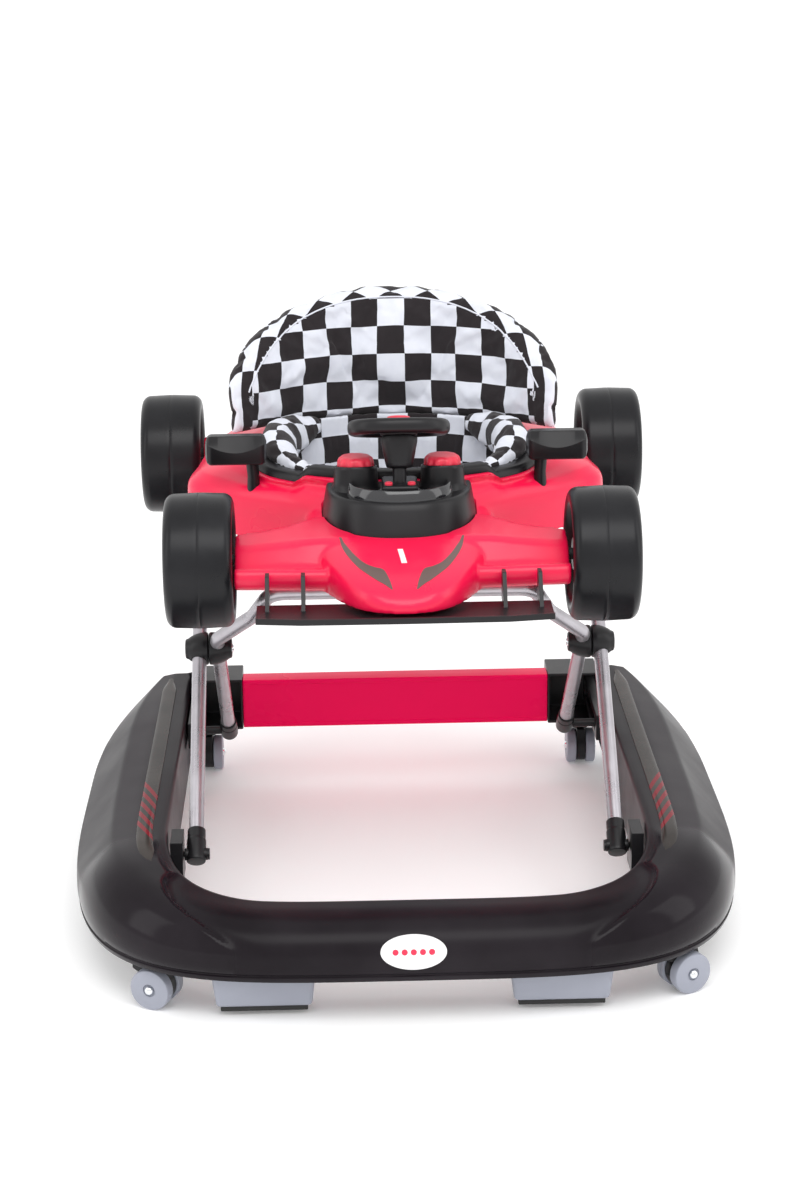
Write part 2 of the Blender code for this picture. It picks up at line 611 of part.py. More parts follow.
def make_leg_mounts(black, red):
    """Front brackets with their pins, rear slide tracks with the crossbar's sockets, and the crossbar."""
    for name, side in SIDES:
        front, back = PIVOT_Y - BRACKET_HALF, PIVOT_Y + BRACKET_HALF
        x0, x1 = across(side * BRACKET_INNER, side * (inner_half_width(front) - GAP))
        bracket = add(f"leg_bracket_{name}", box((x0, front, BRACKET_BOTTOM), (x1, back, BRACKET_TOP)), black,
                      origin=(side * BRACKET_INNER, PIVOT_Y, PIVOT_Z))
        pivot = Vector((0, PIVOT_Y, PIVOT_Z))
        out = Vector((side, 0, 0))
        join(bracket, rod(pivot + out * 0.1985, pivot + out * 0.228, PIN_R, 12),
             rod(pivot + out * 0.1975, pivot + out * 0.2005, 0.0058, 16))
        x0, x1 = across(side * TRACK_INNER, side * TRACK_OUTER)
        low, high = (x0, SLIDE_Y - 0.020, PIVOT_Z - 0.015), (x1, SOCKET_BACK - 0.001, PIVOT_Z + 0.015)
        track = add(f"slide_track_{name}", box(low, high), black)
        slot_in, slot_out = across(side * (TRACK_INNER - 0.01), side * (TRACK_OUTER - 0.004))
        slot = box((slot_in, SLIDE_Y - ROLLER_R - 0.001, PIVOT_Z - ROLLER_R - GAP),
                   (slot_out, SLIDE_Y + SLIDE_TRAVEL + ROLLER_R + 0.0015, PIVOT_Z + ROLLER_R + GAP))
        cut(track, slot)
        x0, x1 = across(side * CHEEK, side * TRACK_OUTER)
        join(track, box((x0, SOCKET_FRONT, SOCKET_TOP - WALL), (x1, SOCKET_BACK, SOCKET_TOP)),
             box((x0, SOCKET_FRONT, SOCKET_BOTTOM), (x1, SOCKET_BACK, SOCKET_BOTTOM + WALL)))
        join(track, box((x0, SOCKET_BACK - WALL, SOCKET_BOTTOM + 0.001), (x1, SOCKET_BACK, SOCKET_TOP - 0.001)))
        x0, x1 = across(side * CHEEK, side * (CHEEK + CHEEK_WALL))
        join(track, box((x0, SOCKET_FRONT, SOCKET_BOTTOM + 0.001), (x1, SOCKET_BACK - 0.001, SOCKET_TOP - 0.001)))
    bar = box((-CHEEK + GAP, BAR_FRONT, BAR_BOTTOM), (CHEEK - GAP, BAR_BACK, BAR_TOP))
    crossbar = add("rear_crossbar", bar, red)
    cut(crossbar, box((-0.3, BAR_FRONT + BAR_WALL, BAR_BOTTOM + BAR_WALL),
                      (0.3, BAR_BACK - BAR_WALL, BAR_TOP - BAR_WALL)))


# ---- tray ---------------------------------------------------------------------------------------------
def catmull(points, steps):
    """A smooth curve through the points."""
    points = [Vector((*p, 0)) for p in points]
    first = Vector((-points[1].x, points[1].y, 0))
    last = Vector((-points[-2].x, points[-2].y, 0))
    padded = [first, *points, last]
    curve = []
    for a, b, c, d in zip(padded, padded[1:], padded[2:], padded[3:]):
        for k in range(steps):
            t = k / steps
            curve.append(0.5 * ((2 * b) + (c - a) * t + (2 * a - 5 * b + 4 * c - d) * t * t
                                + (3 * b - a - 3 * c + d) * t**3))
    curve.append(points[-1])
    return curve


def pod_ring(inset):
    """The body around the seat opening, as rings from the opening's edge to the outline."""
    half = catmull(BODY_OUTLINE, 2)
    whole = half + [Vector((-p.x, p.y, 0)) for p in half[1:-1]][::-1]
    rings = []
    for outer in whole:
        away = Vector((outer.x, outer.y - OPENING_Y, 0))
        angle = atan2(away.y / OPENING_B, away.x / OPENING_A)
        inner = Vector((OPENING_A * cos(angle), OPENING_Y + OPENING_B * sin(angle), 0))
        line = outer - inner
        width = line.length - 2 * inset
        line.normalize()
        inner = inner + line * inset
        rear = smooth_step((outer.y - 0.12) / 0.2)
        low = BODY_BOTTOM - (0.02 if inset else 0)
        shoulder = 0.424 + 0.012 * rear - inset
        edge = 0.408 + 0.016 * rear - inset
        lip = RIM_TOP - inset
        section = [
            (0, 0.400 - (0.06 if inset else 0)), (0, lip - 0.003), (0.002, lip), (0.018, lip),
            (0.45 * width, shoulder + 0.004), (0.80 * width, shoulder - 0.004), (0.95 * width, edge),
            (width, edge - 0.012), (width - 0.004, low),
        ]
        rings.append([inner + line * d + Vector((0, 0, z)) for d, z in section])
    return loft(rings, closed=True)


def nose(inset):
    """The nose, narrowing and dropping to a rounded tip: rows of (y, half-width, top)."""
    rings = []
    for y, half, top in NOSE_ROWS:
        if inset:
            y, half, top = max(y, -0.2245 + inset), max(half - inset, 0.004), top - inset
        low = BODY_BOTTOM - 0.0015 - (0.02 if inset else 0)
        ring = []
        for k in range(9):
            a = pi * k / 8
            x = half * (1 if a < pi / 2 else -1) * abs(cos(a)) ** (2 / 3)
            ring.append((x, y, low + (top - low) * sin(a) ** (2 / 3)))
        rings.append(ring)
    if inset:
        rings = rings[:-1]
    return loft(rings)


def arm(side):
    """Suspension arm fairing from the body to the front wheel, with a rounded leading edge."""
    rows = (
        (0.050, -0.050, 1.0), (0.085, -0.056, 0.95), (0.120, -0.082, 0.45), (0.1655, -0.088, 0.0),
    )
    rings = []
    for x, rear, grow in rows:
        lead = -0.1585 - 0.006 * grow
        rings.append([
            (side * x, rear, 0.3605), (side * x, lead + 0.010, 0.3605), (side * x, lead, 0.366),
            (side * x, lead, 0.377), (side * x, lead + 0.010, 0.3835 + 0.002 * grow),
            (side * x, lead + 0.020, 0.385 + 0.003 * grow), (side * x, lead + 0.038, 0.398 + 0.010 * grow),
            (side * x, rear, 0.402 + 0.008 * grow),
        ])
    return loft(rings)


def console_footprint(scale_x, scale_y, z, grow=0.0):
    """D-shaped outline: straight at the rear, round in front."""
    ring = []
    for k in range(13):
        a = pi * k / 12
        x = cos(a)
        shape_x = (1 if x > 0 else -1) * abs(x) ** 0.8
        ring.append(((CONSOLE_HALF * scale_x + grow) * shape_x,
                     CONSOLE_REAR + grow - (CONSOLE_LENGTH * scale_y + 2 * grow) * sin(a) ** 0.8, z))
    return ring


def stalk_shape(side, grow, low, high):
    (x0, y0), (x1, y1) = MIRROR_STALK
    x0, x1 = across(side * x0, side * x1)
    return box((x0 - grow, y0 - grow, low), (x1 + grow, y1 + grow, high))


def rail_shape(side, grow):
    """A slotted rail's outside, over the whole travel of an outer leg's pin."""
    x0, x1 = across(side * RAIL_INNER, side * RAIL_OUTER)
    front = OUTER_TOP_Y - SLIDE_PIN_R - 0.009
    back = OUTER_TOP_Y + TOP_TRAVEL + SLIDE_PIN_R + 0.0075
    return box((x0 - grow, front - grow, UPPER_Z - 0.011 - grow), (x1 + grow, back + grow, RAIL_TOP + grow))


def make_body(pink):
    """The car body. Its shapes meet at shallow angles, which the MANIFOLD solver handles."""
    body = add("body_shell", pod_ring(0), pink, sharp=40)
    solver = "MANIFOLD"
    join(body, nose(0), solver=solver)
    cut(body, pod_ring(WALL), nose(WALL), solver=solver)
    for _, side in SIDES:
        x, y, z = side * FRONT_WHEEL[0], FRONT_WHEEL[1], FRONT_WHEEL[2]
        face = x - side * CAR_WHEEL_HALF
        join(body, arm(side), rod((face - side * 0.02, y, z), (face + side * STUB, y, z), STUB_R, 10),
             solver=solver)
        x, y, z = side * REAR_WHEEL[0], REAR_WHEEL[1], REAR_WHEEL[2]
        face = x - side * CAR_WHEEL_HALF
        join(body, rod((side * 0.150, y, z), (face - side * 0.0015, y, z), 0.019, 12),
             rod((face - side * 0.05, y, z), (face + side * STUB, y, z), STUB_R, 10), solver=solver)
    cut(body, loft([console_footprint(1, 1, z, 2 * GAP) for z in (CONSOLE_POCKET, 0.46)]), solver=solver)
    for _, side in SIDES:
        cut(body, stalk_shape(side, FIT, STALK_FOOT - 0.05, 0.46), rail_shape(side, 2 * GAP), solver=solver)


def make_seat_ring(black):
    rings = []
    for k in range(28):
        a = 2 * pi * k / 28
        ring = []
        for d, z in ((-0.006, 0), (-0.006, 0.006), (-0.002, 0.009), (0.008, 0.009), (0.012, 0.005), (0.012, 0)):
            ring.append(((OPENING_A + d) * cos(a), OPENING_Y + (OPENING_B + d) * sin(a), RIM_TOP + GAP + z))
        rings.append(ring)
    add("seat_ring", loft(rings, closed=True), black)


def make_console(black, smoke, red):
    rows = ((0.985, 0.985, CONSOLE_FOOT), (1, 1, 0.406), (0.98, 0.93, 0.418), (0.93, 0.80, 0.429),
            (0.87, 0.66, CONSOLE_TOP))
    console = add("dash_console", loft([console_footprint(*row) for row in rows]), black, sharp=50)
    for _, side in SIDES:
        join(console, turned([(0, 0), (0, 0.0215), (POD_TOP - 0.430 - 0.003, 0.0200),
                              (POD_TOP - 0.430, 0.0180), (POD_TOP - 0.430, 0)],
                             (side * POD_X, POD_Y, 0.430), (0, 0, 1), 18))
    join(console, box((-0.018, -0.090, 0.430), (0.018, -0.045, PEDESTAL_TOP)))
    cut(console, rod(COLUMN_FOOT - STEER_AXIS * 0.0175, COLUMN_FOOT + STEER_AXIS * 0.04, SHAFT_R + FIT, 16))
    for _, side in SIDES:
        cut(console, rod((side * BUTTON_X, BUTTON_Y, PEDESTAL_TOP - BUTTON_DEPTH - BUTTON_TRAVEL - 2 * GAP),
                         (side * BUTTON_X, BUTTON_Y, PEDESTAL_TOP + 0.01), BUTTON_R + FIT, 16))
        cut(console, rod((side * POD_X, POD_Y, POD_TOP - 0.012), (side * POD_X, POD_Y, POD_TOP + 0.01),
                         KNOB_STEM_R + FIT, 12))

    for name, side in SIDES:
        knob = []
        for z, scale in ((POD_TOP + GAP, 1.0), (POD_TOP + 0.010, 0.96), (POD_TOP + 0.0145, 0.70)):
            ring = []
            for k in range(32):
                a = 2 * pi * k / 32
                radius = KNOB_R * scale * (1 - 0.07 * (0.5 - 0.5 * cos(8 * a)))
                ring.append((side * POD_X + radius * cos(a), POD_Y + radius * sin(a), z))
            knob.append(ring)
        made = add(f"knob_{name}", loft(knob), red, origin=(side * POD_X, POD_Y, POD_TOP))
        join(made, rod((side * POD_X, POD_Y, POD_TOP - 0.011), (side * POD_X, POD_Y, POD_TOP + 0.005),
                       KNOB_STEM_R, 12))
        button = [(-BUTTON_DEPTH, 0), (-BUTTON_DEPTH, BUTTON_R), (0.0020, BUTTON_R), (0.0028, BUTTON_R - 0.001),
                  (0.0028, 0)]
        add(f"small_button_{name}", turned(button, (side * BUTTON_X, BUTTON_Y, PEDESTAL_TOP), (0, 0, 1), 16),
            red, origin=(side * BUTTON_X, BUTTON_Y, PEDESTAL_TOP))

    add("visor", visor_shape(0), smoke)
    cut(console, visor_shape(GAP))


def visor_shape(grow):
    """A curved wind deflector, thin and leaning in towards its top edge."""
    rings = []
    for k in range(15):
        a = pi * k / 14
        c, s = cos(a), sin(a)
        foot = Vector((0.0540 * c, VISOR_Y - 0.0385 * s, VISOR_BOTTOM - grow))
        top = Vector((0.0510 * c, VISOR_Y - 0.0365 * s, VISOR_TOP + grow))
        out = Vector((c, -s, 0))
        ends = Vector((0, grow * (1 if k in (0, 14) else 0), 0))
        thick = VISOR_THICK + grow
        rings.append([foot + out * grow + ends, top + out * grow + ends,
                      top - out * thick + ends, foot - out * thick + ends])
    return loft(rings)


def make_steering(black, red):
    column = [(-0.0155, 0), (-0.0155, SHAFT_R), (0.0300, SHAFT_R), (0.0310, 0.0125), (0.0600, 0.0185),
              (0.0615, 0.0185), (0.0615, 0)]
    add("steering_column", turned(column, COLUMN_FOOT, STEER_AXIS, 16), black)
    centre = COLUMN_FOOT + STEER_AXIS * STEER_HEIGHT
    along, side, up = STEER_AXIS, Vector((1, 0, 0)), Vector((0, cos(STEER_TILT), -sin(STEER_TILT)))
    rings = []
    for k in range(24):
        a = 2 * pi * k / 24
        shape = Vector((abs(cos(a)) ** 0.75 * (1 if cos(a) > 0 else -1),
                        abs(sin(a)) ** 0.75 * (1 if sin(a) > 0 else -1)))
        middle = centre + side * (RING_A * shape.x) + up * (RING_B * shape.y)
        out = (side * (cos(a) / RING_A) + up * (sin(a) / RING_B)).normalized()
        ring = []
        for j in range(8):
            b = 2 * pi * j / 8
            ring.append(middle + out * (RING_TUBE * cos(b)) + along * (RING_TUBE * sin(b)))
        rings.append(ring)
    wheel = add("steering_wheel", loft(rings, closed=True), black, origin=centre)
    hub = [(-0.0080, 0), (-0.0080, 0.0185), (0.0040, 0.0185), (0.0060, 0.0165), (0.0060, 0)]
    join(wheel, turned(hub, centre, along, 16))
    spoke = []
    for x in (-0.042, 0.042):
        spoke.append([centre + side * x + up * u + along * w
                      for u, w in ((-0.009, -0.0045), (0.009, -0.0045), (0.009, 0.0035), (-0.009, 0.0035))])
    join(wheel, loft(spoke))
    cut(wheel, rod(centre + along * 0.0005, centre + along * 0.02, HORN_R + FIT, 16))
    horn = [(0.0045, 0), (0.0045, HORN_R), (0.0100, HORN_R), (0.0120, HORN_R - 0.0025), (0.0120, 0)]
    add("horn_button", turned(horn, centre, along, 16), red, origin=centre)


def make_mirrors(black):
    for name, side in SIDES:
        rings = []
        for x, half_y, low, high in ((0.1365, 0.006, 0.450, 0.466), (0.1400, 0.011, 0.444, 0.4705),
                                     (0.1700, 0.013, 0.442, 0.4720), (0.1960, 0.011, 0.445, 0.4705),
                                     (0.2005, 0.006, 0.450, 0.466)):
            front, back, bend = MIRROR_Y - half_y, MIRROR_Y + half_y, 0.004
            section = ((front, low + bend), (front, high - bend), (front + bend, high), (back - bend, high),
                       (back, high - bend), (back, low + bend), (back - bend, low), (front + bend, low))
            rings.append([(side * x, y, z) for y, z in section])
        mirror = add(f"mirror_{name}", loft(rings), black)
        join(mirror, stalk_shape(side, 0, STALK_FOOT, 0.455))


def make_wing(black):
    rings = []
    for x, front in ((-WING_HALF, 0.006), (-0.10, 0.0), (0.0, -0.001), (0.10, 0.0), (WING_HALF, 0.006)):
        y = WING_FRONT + front
        rings.append([(x, y, WING_BOTTOM + 0.001), (x, y, WING_TOP + 0.002), (x, y + 0.004, WING_TOP + 0.002),
                      (x, y + 0.006, WING_TOP - 0.001), (x, WING_REAR, WING_TOP), (x, WING_REAR, WING_BOTTOM)])
    wing = add("front_wing", loft(rings), black)
    for side in (-1, 1):
        for x in (0.098, 0.133):
            x0, x1 = across(side * (x - 0.002), side * (x + 0.002))
            profile = [(-0.203, WING_TOP - 0.002), (-0.1668, WING_TOP - 0.002), (-0.1668, 0.384), (-0.180, 0.384)]
            join(wing, loft([[(x0, y, z) for y, z in profile], [(x1, y, z) for y, z in profile]]))


def make_car_wheels(black):
    """Fat racing wheels on the body's stub axles, dished on both faces."""
    for name, place in (("front", FRONT_WHEEL), ("rear", REAR_WHEEL)):
        for side_name, side in SIDES:
            centre = Vector((side * place[0], place[1], place[2]))
            h, r = CAR_WHEEL_HALF, CAR_WHEEL_R
            bore = STUB_R + FIT
            profile = [
                (0.008, 0), (0.008, bore), (-h + 0.0025, bore), (-h + 0.0025, 0.018), (-h + 0.010, 0.020),
                (-h + 0.010, 0.048), (-h, 0.053), (-h + 0.002, 0.064), (-h + 0.009, r),
                (h - 0.009, r), (h - 0.002, 0.064), (h, 0.053), (h - 0.010, 0.048),
                (h - 0.010, 0.018), (h - 0.004, 0.013), (h - 0.004, 0),
            ]
            add(f"car_wheel_{name}_{side_name}", turned(profile, centre, (side, 0, 0), 20), black, origin=centre)


def make_tray_mounts(black):
    """Clips that hold the inner leg tube under the nose, and slotted rails for the outer legs' pins."""
    for name, side in SIDES:
        x0, x1 = across(side * (CLIP_X - CLIP_HALF), side * (CLIP_X + CLIP_HALF))
        clip = add(f"tray_pivot_clip_{name}", box((x0, INNER_TOP_Y - 0.013, UPPER_Z - 0.0125),
                                                  (x1, INNER_TOP_Y + 0.013, CLIP_TOP)), black)
        cut(clip, rod((x0 - 0.01, INNER_TOP_Y, UPPER_Z), (x1 + 0.01, INNER_TOP_Y, UPPER_Z), TUBE_R + FIT, 16))
        start, end = OUTER_TOP_Y - SLIDE_PIN_R - 0.001, OUTER_TOP_Y + TOP_TRAVEL + SLIDE_PIN_R + 0.0015
        rail = add(f"tray_slide_rail_{name}", rail_shape(side, 0), black)
        slot_in, slot_out = across(side * (RAIL_INNER + 0.001), side * (RAIL_OUTER + 0.01))
        cut(rail, box((slot_in, start, UPPER_Z - SLIDE_PIN_R - GAP), (slot_out, end, UPPER_Z + SLIDE_PIN_R + GAP)))


# ---- seat ---------------------------------------------------------------------------------------------
def make_seat_back(fabric):
    """An arched cushion curved round the child's back, standing on the seat ring."""
    thick = BACK_THICK
    low = RIM_TOP + 0.0105
    rings = []
    for k in range(17):
        share = -1 + 2 * k / 16
        angle = BACK_SPAN * share
        top = low + BACK_EDGE + BACK_CROWN * sqrt(max(1 - abs(share) ** 2.4, 0))
        ring = []
        for d, z in ((0.004, low), (0.0, low + 0.006), (0.0, top - 0.006), (0.006, top), (thick - 0.006, top),
                     (thick, top - 0.006), (thick, low + 0.006), (thick - 0.004, low)):
            lean = BACK_LEAN * (z - low)
            ring.append(((BACK_R + d) * sin(angle), BACK_Y + (BACK_R + d) * cos(angle) + lean, z))
        rings.append(ring)
    add("seat_back", loft(rings), fabric, sharp=60)


def make_seat_pad(fabric):
    """The hanging seat: a cup under the seat ring with two leg holes."""
    rows = ((0.4365, 0.980), (0.400, 0.955), (0.355, 0.86), (0.315, 0.70), (0.285, 0.48), (0.270, 0.24),
            (0.266, 0))
    thick = PAD_WALL
    shape = [(z, share * OPENING_A) for z, share in rows]
    inner = [(z + (thick if i > 3 else 0.0), r - (thick if i < 5 else 0.006) if r else 0)
             for i, (z, r) in enumerate(shape)]
    profile = shape[::-1] + inner
    points, faces = turned([(z, r) for z, r in profile], (0, 0, 0), (0, 0, 1), 24)
    stretched = [Vector((p[0], OPENING_Y + p[1] * OPENING_B / OPENING_A, p[2])) for p in points]
    pad = add("seat_pad", (stretched, faces), fabric, sharp=60)
    for _, side in SIDES:
        start = Vector((side * 0.050, OPENING_Y - 0.035, 0.325))
        cut(pad, rod(start, start + Vector((side * 0.05, -0.12, -0.075)), LEG_HOLE_R, 14))


# ---- build --------------------------------------------------------------------------------------------
clear_scene()
BLACK = material("black_plastic", (0.014, 0.014, 0.016), 0.42)
DARK = material("dark_plastic", (0.025, 0.025, 0.027), 0.55)
TRIM = material("trim_gloss", (0.010, 0.010, 0.012), 0.12)
PINK = material("car_red", (0.780, 0.030, 0.110), 0.35)
BAR_RED = material("bar_red", (0.640, 0.010, 0.110), 0.35)
GREY = material("light_grey", (0.420, 0.430, 0.460), 0.45)
RUBBER = material("rubber", (0.012, 0.012, 0.012), 0.75)
SILVER = material("silver_paint", (0.620, 0.625, 0.650), 0.32, 0.6)
WHITE = material("badge_white", (0.850, 0.850, 0.850), 0.25)
SMOKE = material("visor_gloss", (0.020, 0.020, 0.024), 0.08)
KNOB_RED = material("knob_red", (0.620, 0.012, 0.040), 0.30)
FABRIC = material("check_fabric", (0.700, 0.700, 0.700), 0.85)

make_base(BLACK, TRIM, WHITE, DARK)
make_brakes(GREY, RUBBER)
make_casters(GREY, BLACK)
make_outer_legs(SILVER, BLACK)
make_inner_legs(SILVER, BLACK)
make_hinges(BLACK)
make_leg_mounts(BLACK, BAR_RED)
make_body(PINK)
make_seat_ring(BLACK)
make_console(BLACK, SMOKE, KNOB_RED)
make_steering(BLACK, KNOB_RED)
make_mirrors(BLACK)
make_wing(BLACK)
make_car_wheels(BLACK)
make_tray_mounts(BLACK)
make_seat_back(FABRIC)
make_seat_pad(FABRIC)
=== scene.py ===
# %% [markdown]
# # A racing-car baby walker
# The walker is a U-shaped base on casters, a pair of scissor legs and a tray shaped like a racing car, with a
# padded chequered seat in it. The frame that the physics model uses is loaded first. Each finer piece is then
# built in the same metres and rides on one of the frame's bodies, so that it folds and rolls with it.

# %% Load the frame
from math import atan2, cos, hypot, pi, radians, sin, sqrt

import bmesh
import bpy
import numpy as np
from mathutils import Matrix, Vector
from mathutils.bvhtree import BVHTree


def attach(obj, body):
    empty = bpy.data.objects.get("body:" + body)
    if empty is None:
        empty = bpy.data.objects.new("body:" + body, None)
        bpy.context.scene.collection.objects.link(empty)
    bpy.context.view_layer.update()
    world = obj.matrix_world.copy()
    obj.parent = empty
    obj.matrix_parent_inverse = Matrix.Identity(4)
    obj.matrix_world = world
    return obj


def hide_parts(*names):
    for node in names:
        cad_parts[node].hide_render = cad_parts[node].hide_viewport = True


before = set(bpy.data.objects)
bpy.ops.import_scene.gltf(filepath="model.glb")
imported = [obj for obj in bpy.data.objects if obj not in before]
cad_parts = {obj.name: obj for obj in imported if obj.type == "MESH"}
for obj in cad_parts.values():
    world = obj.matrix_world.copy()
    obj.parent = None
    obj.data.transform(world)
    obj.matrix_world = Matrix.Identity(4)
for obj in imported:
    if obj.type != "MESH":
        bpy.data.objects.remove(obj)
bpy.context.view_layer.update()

# %% [markdown]
# ## Small tools for making meshes
# Nearly everything on the walker is either turned (wheels, caps, balls), drawn along a path (tubes, the base) or
# skinned over sections (body, mirrors, cushions). Three small functions cover those, and one more makes the
# object, smooths it and lets it ride on its body.

# %% Mesh tools
SIDES = (("left", -1), ("right", 1))


def new_object(name, mesh_data, finish, sharp=40):
    points, faces = mesh_data
    mesh = bpy.data.meshes.new(name)
    mesh.from_pydata([tuple(p) for p in points], [], faces)
    bm = bmesh.new()
    bm.from_mesh(mesh)
    bmesh.ops.recalc_face_normals(bm, faces=bm.faces)
    bm.to_mesh(mesh)
    bm.free()
    mesh.shade_smooth()
    mesh.set_sharp_from_angle(angle=radians(sharp))
    obj = bpy.data.objects.new(name, mesh)
    bpy.context.scene.collection.objects.link(obj)
    if finish:
        mesh.materials.append(finish)
    return obj


def mount(obj, body, stands_for=()):
    """Lets a finished piece ride on a body, in place of the plain solids that it stands for."""
    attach(obj, body)
    if stands_for:
        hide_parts(*stands_for)
    return obj


def loft(rings, closed=False, capped=True):
    count = len(rings[0])
    points = [p for ring in rings for p in ring]
    faces = []
    for i in range(len(rings) - (0 if closed else 1)):
        j = (i + 1) % len(rings)
        for k in range(count):
            m = (k + 1) % count
            faces.append((i * count + k, i * count + m, j * count + m, j * count + k))
    if capped and not closed:
        faces.append(tuple(range(count))[::-1])
        faces.append(tuple(range((len(rings) - 1) * count, len(rings) * count)))
    return points, faces


def frame_of(direction):
    direction = Vector(direction).normalized()
    side = Vector((0, 0, 1)).cross(direction)
    if side.length < 1e-3:
        side = Vector((1, 0, 0))
    side.normalize()
    return direction, side, direction.cross(side)


def turned(profile, start, direction, steps=64):
    """A solid turned about an axis from (distance along it, radius) pairs."""
    along, side, up = frame_of(direction)
    start = Vector(start)
    rings = []
    for distance, radius in profile:
        radius = max(radius, 0.00005)
        centre = start + along * distance
        rings.append([centre + side * (radius * cos(2 * pi * k / steps)) + up * (radius * sin(2 * pi * k / steps))
                      for k in range(steps)])
    return loft(rings)


def soften(profile, radius, steps=4):
    """Rounds the inner corners of a profile with short arcs."""
    softened = [profile[0]]
    for before, corner, after in zip(profile, profile[1:], profile[2:]):
        corner, into, out = Vector(corner), Vector(before) - Vector(corner), Vector(after) - Vector(corner)
        reach = min(radius, into.length * 0.45, out.length * 0.45)
        start, end = corner + into.normalized() * reach, corner + out.normalized() * reach
        for k in range(steps + 1):
            t = k / steps
            point = start * (1 - t) ** 2 + corner * (2 * t * (1 - t)) + end * t**2
            softened.append(tuple(point))
    softened.append(profile[-1])
    return softened


def curve_through(points, steps):
    """A smooth curve through the points, which may have two or three numbers each."""
    points = [np.array(p, float) for p in points]
    padded = [2 * points[0] - points[1], *points, 2 * points[-1] - points[-2]]
    curve = []
    for a, b, c, d in zip(padded, padded[1:], padded[2:], padded[3:]):
        for k in range(steps):
            t = k / steps
            curve.append(0.5 * (2 * b + (c - a) * t + (2 * a - 5 * b + 4 * c - d) * t**2
                                + (3 * b - a - 3 * c + d) * t**3))
    curve.append(points[-1])
    return curve


def pipe(path, radius, sides=28):
    """A round bar along a path, with flat ends."""
    path = [Vector(p) for p in path]
    directions = [(b - a).normalized() for a, b in zip(path, path[1:])]
    side = directions[0].orthogonal().normalized()
    rings = []
    for i, point in enumerate(path):
        tangent = (directions[min(i, len(directions) - 1)] + directions[max(i - 1, 0)]).normalized()
        side = (side - tangent * side.dot(tangent)).normalized()
        up = tangent.cross(side)
        wide = radius[i] if hasattr(radius, "__len__") else radius
        rings.append([point + side * (wide * cos(2 * pi * k / sides)) + up * (wide * sin(2 * pi * k / sides))
                      for k in range(sides)])
    return loft(rings)


def keep_sign(value, power):
    """A value raised to a power, with its own sign: below 1 it squares a circle off, above 1 it pinches it."""
    return (1 if value > 0 else -1) * abs(value) ** power


def smooth_step(value):
    value = min(max(value, 0.0), 1.0)
    return value * value * (3 - 2 * value)


def soft_box(low, high, radius, taper=0.0, segments=3):
    """A block with rounded edges, narrower at its foot by taper on each side."""
    bm = bmesh.new()
    corners = []
    for z in (0, 1):
        for x, y in ((0, 0), (1, 0), (1, 1), (0, 1)):
            draw = taper if z == 0 else 0
            corners.append(bm.verts.new((low[0] + draw if x == 0 else high[0] - draw,
                                         low[1] + draw if y == 0 else high[1] - draw,
                                         high[2] if z else low[2])))
    for face in ((0, 3, 2, 1), (4, 5, 6, 7), (0, 1, 5, 4), (1, 2, 6, 5), (2, 3, 7, 6), (3, 0, 4, 7)):
        bm.faces.new([corners[i] for i in face])
    bmesh.ops.bevel(bm, geom=bm.edges[:], offset=radius, segments=segments, profile=0.5, affect="EDGES")
    bm.verts.index_update()
    data = [v.co.copy() for v in bm.verts], [tuple(v.index for v in f.verts) for f in bm.faces]
    bm.free()
    return data


def across(a, b):
    return min(a, b), max(a, b)


def bake(obj):
    """Turns an object's modifiers into its own mesh."""
    graph = bpy.context.evaluated_depsgraph_get()
    mesh = bpy.data.meshes.new_from_object(obj.evaluated_get(graph))
    obj.modifiers.clear()
    obj.data = mesh
    return obj


def combine(target, shapes, operation, solver="MANIFOLD"):
    """Joins shapes to a piece or cuts them from it, and keeps the result."""
    helpers = [new_object(f"helper_{i}", shape, None) for i, shape in enumerate(shapes)]
    for helper in helpers:
        modifier = target.modifiers.new(operation, "BOOLEAN")
        modifier.operation = operation
        modifier.solver = solver
        modifier.object = helper
    bpy.context.view_layer.update()
    bake(target)
    for helper in helpers:
        bpy.data.objects.remove(helper, do_unlink=True)
    return target


print("mesh tools ready")

# %% [markdown]
# ## Surface effects that several finishes share
# Moulded plastic is never quite even: the tool leaves a fine grain, and cooling leaves broad cloudy patches. That
# is one node group, with its own scale and roughness range in each material. A second group brightens convex
# edges, where hands and cloths rub. A third draws the woven chequered cotton.

# %% Node helpers
def add_node(tree, kind, inputs=(), **settings):
    made = tree.nodes.new(kind)
    for key, value in settings.items():
        setattr(made, key, value)
    for key, value in dict(inputs).items():
        if isinstance(value, bpy.types.NodeSocket):
            tree.links.new(value, made.inputs[key])
        else:
            made.inputs[key].default_value = value
    return made


def new_group(name, inputs, outputs):
    tree = bpy.data.node_groups.new(name, "ShaderNodeTree")
    for label, kind, default in inputs:
        socket = tree.interface.new_socket(label, in_out="INPUT", socket_type=kind)
        if default is not None:
            socket.default_value = default
    for label, kind in outputs:
        tree.interface.new_socket(label, in_out="OUTPUT", socket_type=kind)
    return tree, tree.nodes.new("NodeGroupInput"), tree.nodes.new("NodeGroupOutput")


def maths(tree, operation, a, b=0.0, clamp=False):
    return add_node(tree, "ShaderNodeMath", {0: a, 1: b}, operation=operation, use_clamp=clamp).outputs[0]


def new_material(name):
    made = bpy.data.materials.new(name)
    made.use_nodes = True
    return made, made.node_tree, made.node_tree.nodes["Principled BSDF"]


def colour_between(tree, share, first, second):
    """A colour that runs from first to second, each of them a colour or another node's output."""
    mix = add_node(tree, "ShaderNodeMix", {"Factor": share}, data_type="RGBA")
    for socket, colour in ((6, first), (7, second)):
        if isinstance(colour, bpy.types.NodeSocket):
            tree.links.new(colour, mix.inputs[socket])
        else:
            mix.inputs[socket].default_value = (*colour, 1)
    return mix.outputs[2]


print("node helpers ready")

